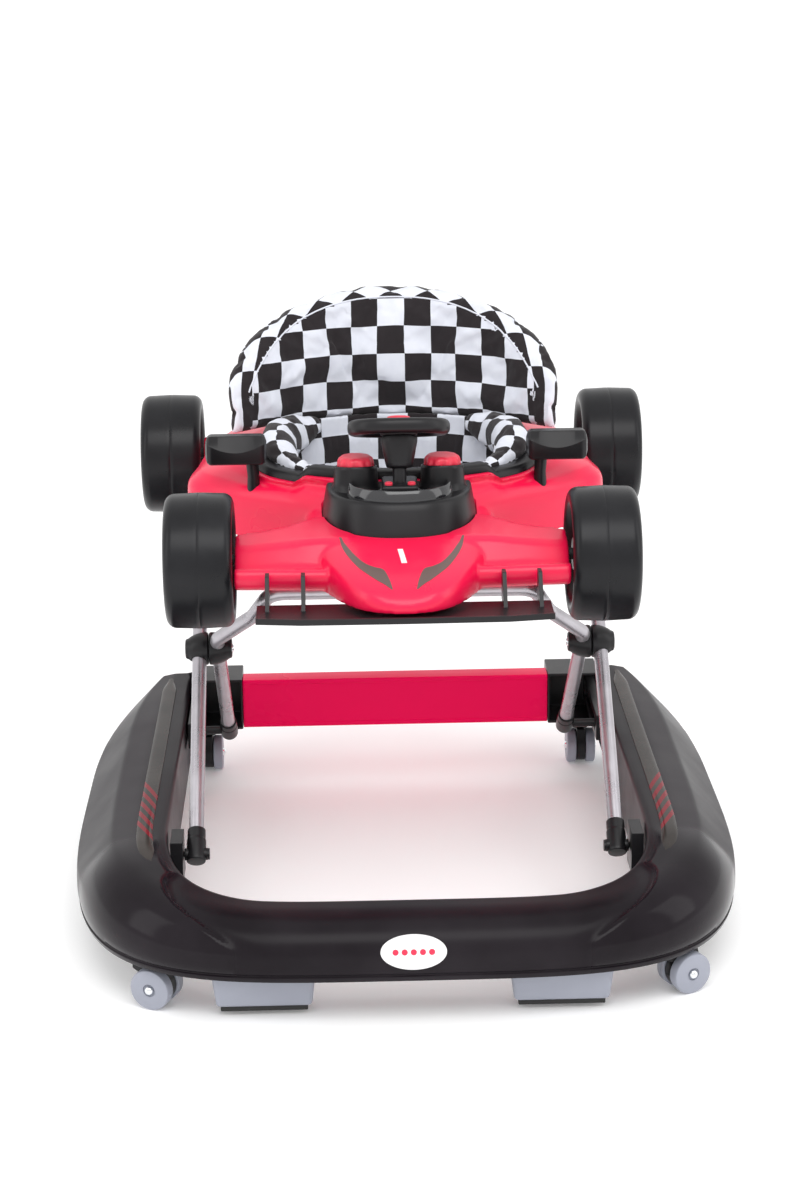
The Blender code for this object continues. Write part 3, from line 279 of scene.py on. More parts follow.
# %% Moulded grain group
grain, given, out = new_group(
    "Moulded grain",
    [("Vector", "NodeSocketVector", None), ("Grain scale", "NodeSocketFloat", 900.0),
     ("Cloud scale", "NodeSocketFloat", 14.0), ("Smoothest", "NodeSocketFloat", 0.3),
     ("Roughest", "NodeSocketFloat", 0.45)],
    [("Cloud", "NodeSocketFloat"), ("Roughness", "NodeSocketFloat"), ("Height", "NodeSocketFloat")])
cloud = add_node(grain, "ShaderNodeTexNoise", {"Vector": given.outputs["Vector"], "Scale": given.outputs["Cloud scale"],
                                               "Detail": 4.0, "Roughness": 0.55})
fine = add_node(grain, "ShaderNodeTexNoise", {"Vector": given.outputs["Vector"], "Scale": given.outputs["Grain scale"],
                                              "Detail": 2.0, "Roughness": 0.5})
even = add_node(grain, "ShaderNodeMapRange", {"Value": cloud.outputs["Fac"], "From Min": 0.32, "From Max": 0.68})
spread = add_node(grain, "ShaderNodeMapRange", {"Value": cloud.outputs["Fac"], "From Min": 0.3, "From Max": 0.7,
                                                "To Min": given.outputs["Smoothest"],
                                                "To Max": given.outputs["Roughest"]})
grain.links.new(even.outputs["Result"], out.inputs["Cloud"])
grain.links.new(spread.outputs["Result"], out.inputs["Roughness"])
grain.links.new(fine.outputs["Fac"], out.inputs["Height"])


def lay_grain(tree, smoothest, roughest, grain_scale=900.0, cloud_scale=14.0):
    """Places the grain in a finish and gives it the finish's own values."""
    where = add_node(tree, "ShaderNodeTexCoord")
    return add_node(tree, "ShaderNodeGroup", {"Vector": where.outputs["Object"], "Grain scale": grain_scale,
                                              "Cloud scale": cloud_scale, "Smoothest": smoothest,
                                              "Roughest": roughest}, node_tree=grain)


# %% Rubbed edge group
rubbed, given, out = new_group("Rubbed edges", [("Amount", "NodeSocketFloat", 0.3)], [("Mask", "NodeSocketFloat")])
shape = add_node(rubbed, "ShaderNodeNewGeometry")
edge = add_node(rubbed, "ShaderNodeMapRange", {"Value": shape.outputs["Pointiness"], "From Min": 0.52,
                                               "From Max": 0.62})
rubbed.links.new(maths(rubbed, "MULTIPLY", edge.outputs["Result"], given.outputs["Amount"], True), out.inputs["Mask"])

# %% Chequered cotton group
check, given, out = new_group(
    "Chequered cotton",
    [("Cloth", "NodeSocketVector", None), ("Threads", "NodeSocketFloat", 34.0)],
    [("Dark square", "NodeSocketFloat"), ("Height", "NodeSocketFloat"), ("Cloud", "NodeSocketFloat")])
parts = add_node(check, "ShaderNodeSeparateXYZ", {"Vector": given.outputs["Cloth"]})
columns = maths(check, "FLOOR", parts.outputs["X"])
rows = maths(check, "FLOOR", parts.outputs["Y"])
dark = maths(check, "PINGPONG", maths(check, "ADD", columns, rows), 1.0)
ONE_TURN = 6.2832
across_thread, along_thread = (
    maths(check, "SINE", maths(check, "MULTIPLY", maths(check, "MULTIPLY", parts.outputs[axis], ONE_TURN),
                               given.outputs["Threads"])) for axis in "XY")
weave = maths(check, "MULTIPLY", across_thread, along_thread)
fluff = add_node(check, "ShaderNodeTexNoise", {"Vector": given.outputs["Cloth"], "Scale": 3.0, "Detail": 3.0})
check.links.new(dark, out.inputs["Dark square"])
check.links.new(weave, out.inputs["Height"])
check.links.new(fluff.outputs["Fac"], out.inputs["Cloud"])
print("node groups:", [g.name for g in bpy.data.node_groups])

# %% [markdown]
# ## The finishes
# The car body and the mouldings are injection-moulded plastic, so one function makes them all: a colour, a second
# colour for its cloudy patches and rubbed edges, a roughness range and a grain depth. The tubes are painted steel,
# the caps on the caster axles are chromed, and the seat is printed cotton.

# %% Plastic finishes
CLOUD_SHARE, PAINTED_HIGHLIGHT_SHARE = 0.35, 0.45  # how far the clouds and the painted highlight band on the base arms pull towards the lighter colour


def moulded(name, colour, lighter, smoothest, roughest, grain_scale=900.0, cloud_scale=14.0, depth=0.02, wear=0.35,
            coat=0.0, gloss_from=None, glossy=0.12, shine=0.5, painted_light_from=None):
    made, tree, shader = new_material(name)
    skin = lay_grain(tree, smoothest, roughest, grain_scale, cloud_scale)
    edges = add_node(tree, "ShaderNodeGroup", {"Amount": wear}, node_tree=rubbed)
    share = maths(tree, "ADD", maths(tree, "MULTIPLY", skin.outputs["Cloud"], CLOUD_SHARE), edges.outputs["Mask"], True)
    # painted highlight: a band given by a point attribute is pulled towards the lighter colour, where the overhead
    # light reflects
    if painted_light_from:
        pale = add_node(tree, "ShaderNodeAttribute", attribute_name=painted_light_from)
        share = maths(tree, "ADD", share, maths(tree, "MULTIPLY", pale.outputs["Fac"], PAINTED_HIGHLIGHT_SHARE), True)
    tree.links.new(colour_between(tree, share, colour, lighter), shader.inputs["Base Color"])
    rough = skin.outputs["Roughness"]
    if gloss_from:
        polish = add_node(tree, "ShaderNodeAttribute", attribute_name=gloss_from)
        blend = add_node(tree, "ShaderNodeMix", {"Factor": polish.outputs["Fac"]})
        tree.links.new(rough, blend.inputs[2])
        blend.inputs[3].default_value = glossy
        rough = blend.outputs[0]
    tree.links.new(rough, shader.inputs["Roughness"])
    bump = add_node(tree, "ShaderNodeBump", {"Height": skin.outputs["Height"], "Strength": depth * 10,
                                             "Distance": 0.0002})
    tree.links.new(bump.outputs["Normal"], shader.inputs["Normal"])
    shader.inputs["Coat Weight"].default_value = coat
    shader.inputs["Coat Roughness"].default_value = 0.15
    shader.inputs["Specular IOR Level"].default_value = shine
    return made


black_plastic = moulded("satin_black_plastic", (0.0075, 0.0070, 0.0080), (0.022, 0.021, 0.024), 0.28, 0.40,
                        shine=0.30)
# the base material adds a painted highlight along the top band of each arm, read from its shell's point attribute
base_plastic = moulded("base_black_plastic", (0.0075, 0.0052, 0.0073), (0.034, 0.028, 0.034), 0.30, 0.44,
                       cloud_scale=9.0, wear=0.15, gloss_from="corner_gloss", glossy=0.11, shine=0.13,
                       painted_light_from="painted_highlight_band")
tyre_plastic = moulded("tyre_black_plastic", (0.0060, 0.0060, 0.0075), (0.018, 0.018, 0.021), 0.26, 0.36,
                       grain_scale=1400.0, cloud_scale=22.0, depth=0.012, wear=0.2, shine=0.25)
dark_plastic = moulded("underside_plastic", (0.020, 0.020, 0.022), (0.045, 0.045, 0.048), 0.45, 0.60)
body_pink = moulded("body_pink_plastic", (0.860, 0.004, 0.060), (0.93, 0.020, 0.090), 0.26, 0.36, grain_scale=1200.0,
                    cloud_scale=7.0, depth=0.006, wear=0.4, coat=0.15, shine=0.35)
bar_red = moulded("crossbar_red_plastic", (0.930, 0.000, 0.090), (0.95, 0.002, 0.100), 0.22, 0.32, cloud_scale=6.0,
                  depth=0.006, wear=0.4, shine=0.12)
knob_red = moulded("knob_red_plastic", (0.700, 0.018, 0.052), (0.85, 0.07, 0.11), 0.28, 0.38, depth=0.008, wear=0.6)
soft_grey = moulded("caster_grey_plastic", (0.300, 0.313, 0.370), (0.37, 0.385, 0.45), 0.34, 0.46, depth=0.012)
smoke_gloss = moulded("smoked_gloss_plastic", (0.012, 0.012, 0.014), (0.03, 0.03, 0.034), 0.04, 0.09, depth=0.001,
                      coat=0.6)
rubber = moulded("brake_rubber", (0.012, 0.012, 0.012), (0.035, 0.034, 0.033), 0.62, 0.78, grain_scale=700.0,
                 depth=0.05)
decal_brown = moulded("headlamp_film", (0.120, 0.074, 0.066), (0.16, 0.105, 0.095), 0.30, 0.40, depth=0.004)
decal_white = moulded("white_film", (0.82, 0.82, 0.83), (0.90, 0.90, 0.90), 0.25, 0.34, depth=0.003)
print("plastics:", len(bpy.data.materials))

# %% Steel finishes
def metal(name, colour, lighter, metallic, smoothest, roughest, streak):
    made, tree, shader = new_material(name)
    skin = lay_grain(tree, smoothest, roughest, streak, 30.0)
    tree.links.new(colour_between(tree, skin.outputs["Cloud"], colour, lighter), shader.inputs["Base Color"])
    tree.links.new(skin.outputs["Roughness"], shader.inputs["Roughness"])
    bump = add_node(tree, "ShaderNodeBump", {"Height": skin.outputs["Height"], "Strength": 0.03, "Distance": 0.0001})
    tree.links.new(bump.outputs["Normal"], shader.inputs["Normal"])
    shader.inputs["Metallic"].default_value = metallic
    return made


silver_tube = metal("silver_painted_tube", (0.42, 0.40, 0.43), (0.52, 0.50, 0.53), 0.75, 0.24, 0.34, 1500.0)
chrome = metal("chromed_cap", (0.80, 0.82, 0.84), (0.86, 0.88, 0.90), 1.0, 0.06, 0.14, 600.0)


# %% Chequered cotton finish
def cotton(name):
    made, tree, shader = new_material(name)
    laid = add_node(tree, "ShaderNodeUVMap", uv_map="cloth")
    cloth = add_node(tree, "ShaderNodeGroup", {"Cloth": laid.outputs["UV"]}, node_tree=check)
    white = colour_between(tree, cloth.outputs["Cloud"], (0.66, 0.68, 0.76), (0.75, 0.77, 0.83))
    printed = colour_between(tree, cloth.outputs["Dark square"], white, (0.018, 0.014, 0.016))
    tree.links.new(printed, shader.inputs["Base Color"])
    rough = add_node(tree, "ShaderNodeMapRange", {"Value": cloth.outputs["Cloud"], "To Min": 0.78, "To Max": 0.92})
    tree.links.new(rough.outputs["Result"], shader.inputs["Roughness"])
    bump = add_node(tree, "ShaderNodeBump", {"Height": cloth.outputs["Height"], "Strength": 0.25,
                                             "Distance": 0.0002})
    tree.links.new(bump.outputs["Normal"], shader.inputs["Normal"])
    shader.inputs["Sheen Weight"].default_value = 0.15
    shader.inputs["Sheen Roughness"].default_value = 0.5
    shader.inputs["Specular IOR Level"].default_value = 0.25
    return made


check_cotton = cotton("chequered_cotton")
print("finishes:", len(bpy.data.materials))

# %% [markdown]
# ## The base
# The base is one hollow black moulding, a U open at the back. Its arms are broad and nearly flat on top, with a
# crease along the outer slope. At each front corner the shell swells into a polished cap that ends in a curved
# crest, and the front bar is lower and rounder. A section is drawn at each station round the U and the sections
# are skinned, which keeps the long lines fair in a way that stacked blocks can't.

# %% Base outline
FRONT, REAR, HALF_WIDTH, WIDEST_Y = -0.3835, 0.348, 0.341, 0.0585
BOTTOM, ARM_TOP, FRONT_TOP = 0.046, 0.125, 0.104
INNER_HALF, INNER_FRONT, INNER_TURN = 0.238, -0.3135, -0.10
BLOCK_Y, BLOCK_INNER = 0.306, 0.203
CORNER = (0.14, -0.20)


def outer_half(y):
    if y > WIDEST_Y:
        return HALF_WIDTH - 0.040 * ((y - WIDEST_Y) / 0.24) ** 3
    share = (WIDEST_Y - y) / (WIDEST_Y - FRONT)
    return HALF_WIDTH * max(1 - share**4, 0) ** (1 / 4)


def inner_half(y):
    if y >= BLOCK_Y:
        return BLOCK_INNER
    if y > INNER_TURN:
        return INNER_HALF
    share = (INNER_TURN - y) / (INNER_TURN - INNER_FRONT)
    return INNER_HALF * max(1 - share**4.6, 0) ** (1 / 4.6)


def reach(half_width, start, direction):
    near, far = 0.0, 0.5
    for _ in range(40):
        middle = (near + far) / 2
        x, y = start[0] + direction[0] * middle, start[1] + direction[1] * middle
        if y > FRONT and x < half_width(y):
            near = middle
        else:
            far = middle
    return start[0] + direction[0] * near, start[1] + direction[1] * near


def base_stations():
    """Stations of the right half, as (inner, outer, top, plateau, turn).

    turn rises from -1 at the arm's rear end to 0 where the corner starts and 1 where it ends.
    """
    stations = []
    for k in range(9):
        t = k / 8
        y = REAR - (REAR - BLOCK_Y - 0.001) * t
        draw, drop = 0.016 * (1 - t) ** 6, 0.032 * (1 - t) ** 2.2
        stations.append(((BLOCK_INNER + draw, y), (outer_half(y) - draw, y), ARM_TOP - drop, 0.45, -1.0 + t * 0.05))
    for k in range(64):
        y = BLOCK_Y - 0.001 + (CORNER[1] - BLOCK_Y + 0.001) * k / 63
        stations.append(((inner_half(y), y), (outer_half(y), y), ARM_TOP, 0.45, -0.95 * (1 - k / 63)))
    for k in range(1, 64):
        angle = -radians(90) * k / 64
        ray = (cos(angle), sin(angle))
        lower = smooth_step(k / 64)
        stations.append((reach(inner_half, CORNER, ray), reach(outer_half, CORNER, ray),
                         ARM_TOP + (FRONT_TOP - ARM_TOP) * lower, 0.45 - 0.17 * lower, k / 64))
    for k in range(19):
        x = CORNER[0] * (1 - k / 18)
        stations.append((reach(inner_half, (x, CORNER[1]), (0, -1)), reach(outer_half, (x, CORNER[1]), (0, -1)),
                         FRONT_TOP, 0.28, 1 + k / 18))
    return stations


stations = base_stations()
print("base stations on one side:", len(stations))


# %% Base section
def base_section(width, top, plateau, turn):
    """(distance from the inner wall, height) from the inner foot to the outer foot."""
    bend, flat, middle = 0.008, plateau * width, BOTTOM + 0.016
    section = [(0, BOTTOM + (top - bend - BOTTOM) * k / 6) for k in range(6)]
    section += [(bend * (1 - cos(radians(a))), top - bend + bend * sin(radians(a))) for a in range(0, 91, 15)]
    section += [(bend + (flat - bend) * k / 10, top) for k in range(1, 10)]
    for k in range(31):
        a = radians(90 * (1 - k / 30))
        section.append((flat + (width - flat) * max(cos(a), 0) ** (2 / 2.3),
                        middle + (top - middle) * max(sin(a), 0) ** (2 / 2.3)))
    section += [(width - 0.0015, BOTTOM + 0.0085), (width - 0.0030, BOTTOM + 0.0070), (width - 0.0030, BOTTOM + 0.0060),
                (width - 0.0012, BOTTOM + 0.0050), (width - 0.0025, BOTTOM + 0.0010), (width - 0.0035, BOTTOM)]
    creased = smooth_step((0.30 - turn) / 0.45)
    first, crease = 0.36 * width, 0.60 * width
    shaped = []
    for d, z in section:
        limit = top
        if d > first:
            limit = top - 0.20 * (min(d, crease) - first) - 1.05 * max(d - crease, 0)
        shaped.append((d, z + creased * (min(z, max(limit, middle)) - z)))
    return shaped


def corner_swell(turn, share):
    """(rise, polish) of the polished corner cap: share runs from the inner foot to the outer foot."""
    crest = 0.46 + 0.44 * smooth_step((share - 0.40) / 0.42)
    inside = crest - turn
    edge = smooth_step((inside + 0.020) / 0.040)
    outward = smooth_step((share - 0.36) / 0.06)
    fade = smooth_step((turn + 0.05) / 0.35)
    rise = 0.0026 * edge * outward * fade * max(0.0, 1 - max(inside, 0) / 0.9)
    valley = -0.0012 * (1 - edge) * outward * max(0.0, 1 + inside / 0.10) if inside < 0 else 0.0
    polish = edge * outward * smooth_step((turn + 0.02) / 0.12)
    front_gloss = 0.25 * smooth_step((turn - 0.9) / 0.3) * (1 - edge)
    return rise + valley, max(polish, front_gloss)


# %% Base shell
def base_rings():
    rings, polish, painted_highlight = [], [], []
    whole = [(side, station) for side, group in ((1, stations), (-1, stations[:-1][::-1])) for station in group]
    for side, (inner, outer, top, plateau, turn) in whole:
        inner, outer = Vector((side * inner[0], inner[1], 0)), Vector((side * outer[0], outer[1], 0))
        away = outer - inner
        width = away.length
        away.normalize()
        section = base_section(width, top, plateau, turn)
        lengths = np.cumsum([0] + [hypot(b[0] - a[0], b[1] - a[1]) for a, b in zip(section, section[1:])])
        ring = []
        for k, (d, z) in enumerate(section):
            a, b = section[max(k - 1, 0)], section[min(k + 1, len(section) - 1)]
            slope = Vector((-(b[1] - a[1]), b[0] - a[0]))
            normal = slope.normalized() if slope.length > 1e-9 else Vector((0, 1))
            foot = smooth_step((z - BOTTOM - 0.010) / 0.02)
            rise, gloss = corner_swell(turn, lengths[k] / lengths[-1])
            d, z = d + normal.x * (rise * foot - 0.0014), z + normal.y * (rise * foot - 0.0014 * foot)
            ring.append(inner + away * d + Vector((0, 0, z)))
            polish.append(gloss)
            share = d / width
            # painted highlight: the upward-facing band across the top of each arm is lightened where the overhead light
            # reflects, fading out at the corners and at the rear end
            on_band = smooth_step((share - 0.30) / 0.04) * smooth_step((0.60 - share) / 0.03)
            painted_highlight.append(on_band * smooth_step((0.22 - turn) / 0.3) * smooth_step((turn + 0.98) / 0.1))
        rings.append(ring)
    return rings, polish, painted_highlight


rings, polish, painted_highlight = base_rings()
base_shell = new_object("base_shell_skin", loft(rings), base_plastic, sharp=62)
kept = base_shell.data.attributes.new("corner_gloss", "FLOAT", "POINT")
kept.data.foreach_set("value", np.array(polish, np.float32))
# keeps the painted highlight band as a point attribute for the base material
kept = base_shell.data.attributes.new("painted_highlight_band", "FLOAT", "POINT")
kept.data.foreach_set("value", np.array(painted_highlight, np.float32))
hollow_rings = []
for ring in rings[2:-2]:
    centre = sum(ring, Vector()) / len(ring)
    inner, outer = ring[0], ring[-1]
    away = Vector((outer.x - inner.x, outer.y - inner.y, 0))
    width = away.length
    away.normalize()
    top = max(p.z for p in ring)
    foot = Vector((inner.x, inner.y, 0))
    hollow_rings.append([foot + away * d + Vector((0, 0, z)) for d, z in
                         ((0.004, BOTTOM - 0.01), (0.004, top - 0.014), (0.014, top - 0.006),
                          (0.40 * width, top - 0.007), (0.62 * width, top - 0.026), (width - 0.006, BOTTOM + 0.014),
                          (width - 0.008, BOTTOM - 0.01))])
combine(base_shell, [loft(hollow_rings)], "DIFFERENCE")
base_shell.data.set_sharp_from_angle(angle=radians(30))
mount(base_shell, "base", ["base_upper_shell"])
print("base shell faces:", len(base_shell.data.polygons))

# %% [markdown]
# ## Trim strips and badge
# A glossy strip is let into the top of each arm, smoky black with slanted red flashes towards the front. The strip
# is lofted along the same stations as the shell, and the distance along it is kept as a UV so that the flashes
# are painted by the material. The oval badge is a plain white plate with a row of red spots.

# %% Trim finish
def striped_gloss():
    made, tree, shader = new_material("striped_trim_gloss")
    laid = add_node(tree, "ShaderNodeUVMap", uv_map="cloth")
    parts = add_node(tree, "ShaderNodeSeparateXYZ", {"Vector": laid.outputs["UV"]})
    slanted = maths(tree, "ADD", parts.outputs["X"], maths(tree, "MULTIPLY", parts.outputs["Y"], 1.3))
    flash = maths(tree, "GREATER_THAN", maths(tree, "FRACT", maths(tree, "MULTIPLY", slanted, 0.6)), 0.5)
    start = maths(tree, "GREATER_THAN", slanted, 0.0)
    end = maths(tree, "LESS_THAN", slanted, 8.4)
    red = maths(tree, "MULTIPLY", flash, maths(tree, "MULTIPLY", start, end))
    skin = lay_grain(tree, 0.10, 0.18)
    smoky = colour_between(tree, skin.outputs["Cloud"], (0.022, 0.018, 0.016), (0.055, 0.046, 0.041))
    tree.links.new(colour_between(tree, red, smoky, (0.200, 0.003, 0.012)), shader.inputs["Base Color"])
    tree.links.new(skin.outputs["Roughness"], shader.inputs["Roughness"])
    shader.inputs["Specular IOR Level"].default_value = 0.12
    return made


trim_gloss = striped_gloss()


def lay_cloth(obj, coordinates):
    """Keeps a pair of flat coordinates for each point, as the UV map named cloth."""
    layer = obj.data.uv_layers.new(name="cloth")
    loops = np.zeros(len(obj.data.loops), np.int32)
    obj.data.loops.foreach_get("vertex_index", loops)
    layer.data.foreach_set("uv", np.asarray(coordinates, np.float32)[loops].ravel())


# %% Trim strips
TRIM_MIDDLE, TRIM_HALF = 0.0245, 0.0082  # from the arm's inner edge
FLASH_UNIT, FLASH_START = 0.016, -0.34   # one unit of the print, and how far along the strip the flashes start

for name, side in SIDES:
    rings, laid = [], []
    run = [s for s in stations if s[0][1] < 0.285 and s[4] < 0.46]
    for index, (inner, outer, top, plateau, turn) in enumerate(run):
        inner, outer = Vector((side * inner[0], inner[1], 0)), Vector((side * outer[0], outer[1], 0))
        away = (outer - inner).normalized()
        ends = min(index, len(run) - 1 - index) / 5
        squeeze = 0.35 + 0.65 * smooth_step(ends)
        ring = [inner + away * (TRIM_MIDDLE + TRIM_HALF * squeeze * d) + Vector((0, 0, top - 0.0016 + z)) for d, z in
                ((-1, -0.004), (-1, 0.0006), (-0.9, 0.0016), (-0.5, 0.0021), (0, 0.0023), (0.5, 0.0021),
                 (0.9, 0.0016), (1, 0.0006), (1, -0.004))]
        rings.append(ring)
        before = laid[-1][0] * FLASH_UNIT if laid else FLASH_START
        along = (ring[4] - rings[max(index - 1, 0)][4]).length + before
        laid += [(along / FLASH_UNIT, d) for d in (-1, -1, -0.9, -0.5, 0, 0.5, 0.9, 1, 1)]
    trim = new_object(f"trim_strip_{name}", loft(rings), trim_gloss, sharp=50)
    lay_cloth(trim, laid)
    mount(trim, "base", [f"side_trim_{name}"])
print("trim strips done")


# %% Badge
def badge_finish():
    made, tree, shader = new_material("badge_white_and_spots")
    laid = add_node(tree, "ShaderNodeUVMap", uv_map="cloth")
    parts = add_node(tree, "ShaderNodeSeparateXYZ", {"Vector": laid.outputs["UV"]})
    cell = maths(tree, "SUBTRACT", maths(tree, "FRACT", maths(tree, "ADD", parts.outputs["X"], 0.5)), 0.5)
    spot = maths(tree, "SQRT", maths(tree, "ADD", maths(tree, "POWER", maths(tree, "ABSOLUTE", cell), 2.0),
                                     maths(tree, "POWER", maths(tree, "ABSOLUTE", parts.outputs["Y"]), 2.0)))
    inside = maths(tree, "MULTIPLY", maths(tree, "LESS_THAN", spot, 0.34),
                   maths(tree, "LESS_THAN", maths(tree, "ABSOLUTE", parts.outputs["X"]), 2.5))
    skin = lay_grain(tree, 0.14, 0.22)
    spotted = colour_between(tree, inside, (0.90, 0.90, 0.90), (0.72, 0.03, 0.08))
    tree.links.new(spotted, shader.inputs["Base Color"])
    tree.links.new(skin.outputs["Roughness"], shader.inputs["Roughness"])
    return made


BADGE_CENTRE, BADGE_NORMAL = Vector((0, -0.3810, 0.0765)), Vector((0, -0.96, 0.28))
BADGE_HALF, BADGE_HIGH, SPOT_PITCH = 0.031, 0.0165, 0.0085
along, side_way, up_way = frame_of(BADGE_NORMAL)
rings, laid = [], []
for grow, distance in ((0.02, -0.00175), (1.0, -0.00175), (1.0, 0.0009), (0.985, 0.0014), (0.95, 0.00175),
                       (0.02, 0.0022)):
    ring = []
    for k in range(64):
        a, b = BADGE_HALF * grow * cos(2 * pi * k / 64), BADGE_HIGH * grow * sin(2 * pi * k / 64)
        ring.append(BADGE_CENTRE + along * distance + side_way * a + up_way * b)
        laid.append((a / SPOT_PITCH, b / SPOT_PITCH))
    rings.append(ring)
badge = new_object("front_badge_plate", loft(rings), badge_finish())
lay_cloth(badge, laid)
mount(badge, "base", ["front_badge"])
print("badge faces:", len(badge.data.polygons))

# %% [markdown]
# ## Brakes and casters
# Under the front bar are two grey brake blocks with rubber soles, and each corner has a twin caster: two grey discs
# on one axle with a chromed cap, and a black hood between them on a swivelling crown. Discs and caps are turned.
# The hood is drawn as an outline and given thickness.

# %% Brake blocks
for name, side in SIDES:
    x0, x1 = across(side * 0.092, side * 0.191)
    block = new_object(f"brake_block_body_{name}", soft_box((x0, -0.3585, 0.010), (x1, -0.3195, 0.0467), 0.0045,
                                                           taper=0.004, segments=5), soft_grey)
    mount(block, "base", [f"brake_block_{name}"])
    x0, x1 = across(side * 0.100, side * 0.183)
    sole = new_object(f"brake_sole_{name}", soft_box((x0, -0.3515, 0.005), (x1, -0.3265, 0.0120), 0.0012), rubber)
    mount(sole, "base", [f"brake_pad_{name}"])

# %% Casters
WHEEL_R, HOOD_R, TRAIL = 0.0205, 0.0188, 0.010
CASTERS = (("front_left", (-0.254, -0.315), (0.91, -0.40)), ("front_right", (0.254, -0.315), (0.89, 0.45)),
           ("rear_left", (-0.223, 0.324), (0.0, -1.0)), ("rear_right", (0.223, 0.324), (0.0, -1.0)))


def hood_outline(trail):
    """The hood's edge in the plane of the wheels: round over the axle, straight up to the crown."""
    outline = []
    for k in range(33):
        a = radians(-215 + 250 * k / 32)
        outline.append((trail + HOOD_R * cos(a), WHEEL_R + HOOD_R * sin(a)))
    return outline + [(trail + 0.012, 0.0435), (-0.013, 0.0445), (-0.0135, 0.036)]


for name, (x, y), roll in CASTERS:
    roll = Vector((*roll, 0)).normalized()
    axle = Vector((-roll.y, roll.x, 0))
    swivel = Vector((x, y, 0))
    hub = swivel + roll * TRAIL + Vector((0, 0, WHEEL_R))
    slices = []
    for shift, shrink in ((-0.0052, 0.94), (-0.0046, 0.99), (0.0046, 0.99), (0.0052, 0.94)):
        middle = Vector((TRAIL * 0.5, 0.028))
        slices.append([swivel + axle * shift + roll * (middle.x + (u - middle.x) * shrink)
                       + Vector((0, 0, middle.y + (z - middle.y) * shrink)) for u, z in hood_outline(TRAIL)])
    hood = new_object(f"caster_hood_{name}", loft(slices), black_plastic, sharp=50)
    mount(hood, f"caster_{name}", [f"caster_fork_{name}"])
    crown = soften([(0, 0), (0, 0.0118), (0.0015, 0.0138), (0.0038, 0.0138), (0.0038, 0)], 0.0006, 3)
    stalk = new_object(f"caster_crown_{name}", turned(crown, swivel + Vector((0, 0, 0.0418)), (0, 0, 1), 40),
                       black_plastic)
    mount(stalk, f"caster_{name}")
    disc = [(0.0058, 0.002), (0.0058, WHEEL_R - 0.0012), (0.0066, WHEEL_R), (0.0150, WHEEL_R),
            (0.0163, WHEEL_R - 0.0008), (0.0168, WHEEL_R - 0.0024), (0.0168, 0.0064), (0.0150, 0.0060),
            (0.0150, 0.002)]
    cap = [(0.0145, 0.0001), (0.0150, 0.0047), (0.0165, 0.0047), (0.0182, 0.0040), (0.0196, 0.0026), (0.0203, 0.0001)]
    for label, way in (("near", 1), ("far", -1)):
        wheel = new_object(f"caster_disc_{name}_{label}", turned(disc, hub, axle * way, 72), soft_grey, sharp=35)
        mount(wheel, f"caster_axle_{name}", [f"caster_wheels_{name}"])
        dome = new_object(f"caster_cap_{name}_{label}", turned(cap, hub, axle * way, 40), chrome)
        mount(dome, f"caster_axle_{name}")
print("casters:", len(CASTERS))

# %% [markdown]
# ## Legs
# Four painted steel tubes cross in pairs like scissors. Each outer tube runs from a bracket on the base to a rail
# under the tray. The inner pair is one long tube, bent in behind the front wheels and across under the nose. Black
# cups close the ends, and two half balls with a rivet clamp each crossing.

# %% Leg geometry
ANGLE = radians(40.86)
PIVOT_Y, PIVOT_Z, LEG_HALF, LEG_UPPER = -0.1865, 0.098, 0.24, 0.14
OUTER_X, INNER_X, TUBE_R = 0.211, 0.1915, 0.0075
OUTER_DIR, INNER_DIR = Vector((0, cos(ANGLE), sin(ANGLE))), Vector((0, -cos(ANGLE), sin(ANGLE)))
CROSS = Vector((0, PIVOT_Y + LEG_HALF * cos(ANGLE), PIVOT_Z + LEG_HALF * sin(ANGLE)))
CUP = soften([(-0.0085, 0.0001), (-0.0085, 0.0093), (-0.0060, 0.0098), (0.0150, 0.0098), (0.0165, 0.0092),
              (0.0262, 0.0092), (0.0275, 0.0084), (0.0275, 0.0074)], 0.0009, 3)


def rounded_path(corners, radius, steps=10):
    corners = [Vector(c) for c in corners]
    path = [corners[0]]
    for before, corner, after in zip(corners, corners[1:], corners[2:]):
        into, out_way = (corner - before).normalized(), (after - corner).normalized()
        turn = into.angle(out_way)
        set_back = radius * (1 - cos(turn)) / max(sin(turn), 1e-6)
        normal = (out_way - into * into.dot(out_way)).normalized()
        centre = corner - into * set_back + normal * radius
        path += [centre + into * (radius * sin(turn * k / steps)) - normal * (radius * cos(turn * k / steps))
                 for k in range(steps + 1)]
    return path + [corners[-1]]


# %% Outer legs
for name, side in SIDES:
    foot = Vector((side * OUTER_X, PIVOT_Y, PIVOT_Z))
    top = Vector((side * OUTER_X, CROSS.y, CROSS.z)) + OUTER_DIR * LEG_UPPER
    tube = new_object(f"outer_tube_{name}", pipe([foot + OUTER_DIR * 0.009, foot + OUTER_DIR * 0.19,
                                                  top - OUTER_DIR * 0.009], TUBE_R, 40), silver_tube)
    mount(tube, "outer_legs", [f"outer_leg_tube_{name}"])
    cup = new_object(f"outer_foot_cup_{name}", turned(CUP, foot, OUTER_DIR, 40), black_plastic)
    mount(cup, "outer_legs", [f"outer_leg_foot_{name}"])
    boss = soften([(0, 0.0001), (0, 0.0062), (0.0048, 0.0062), (0.0048, 0.0001)], 0.0008, 3)
    for label, way in (("in", -1), ("out", 1)):
        pad = new_object(f"outer_foot_boss_{name}_{label}", turned(boss, foot + Vector((side * way * 0.0068, 0, 0)),
                                                                  (side * way, 0, 0), 32), black_plastic)
        mount(pad, "outer_legs")
    cup = new_object(f"outer_top_cup_{name}", turned(CUP, top, -OUTER_DIR, 40), black_plastic)
    mount(cup, "outer_legs", [f"outer_leg_top_{name}"])
    pin_profile = soften([(0, 0.0001), (0, 0.0048), (0.0205, 0.0048), (0.0205, 0.0001)], 0.0006)
    pin = new_object(f"outer_top_pin_{name}", turned(pin_profile, top, (-side, 0, 0), 32), silver_tube)
    mount(pin, "outer_legs")

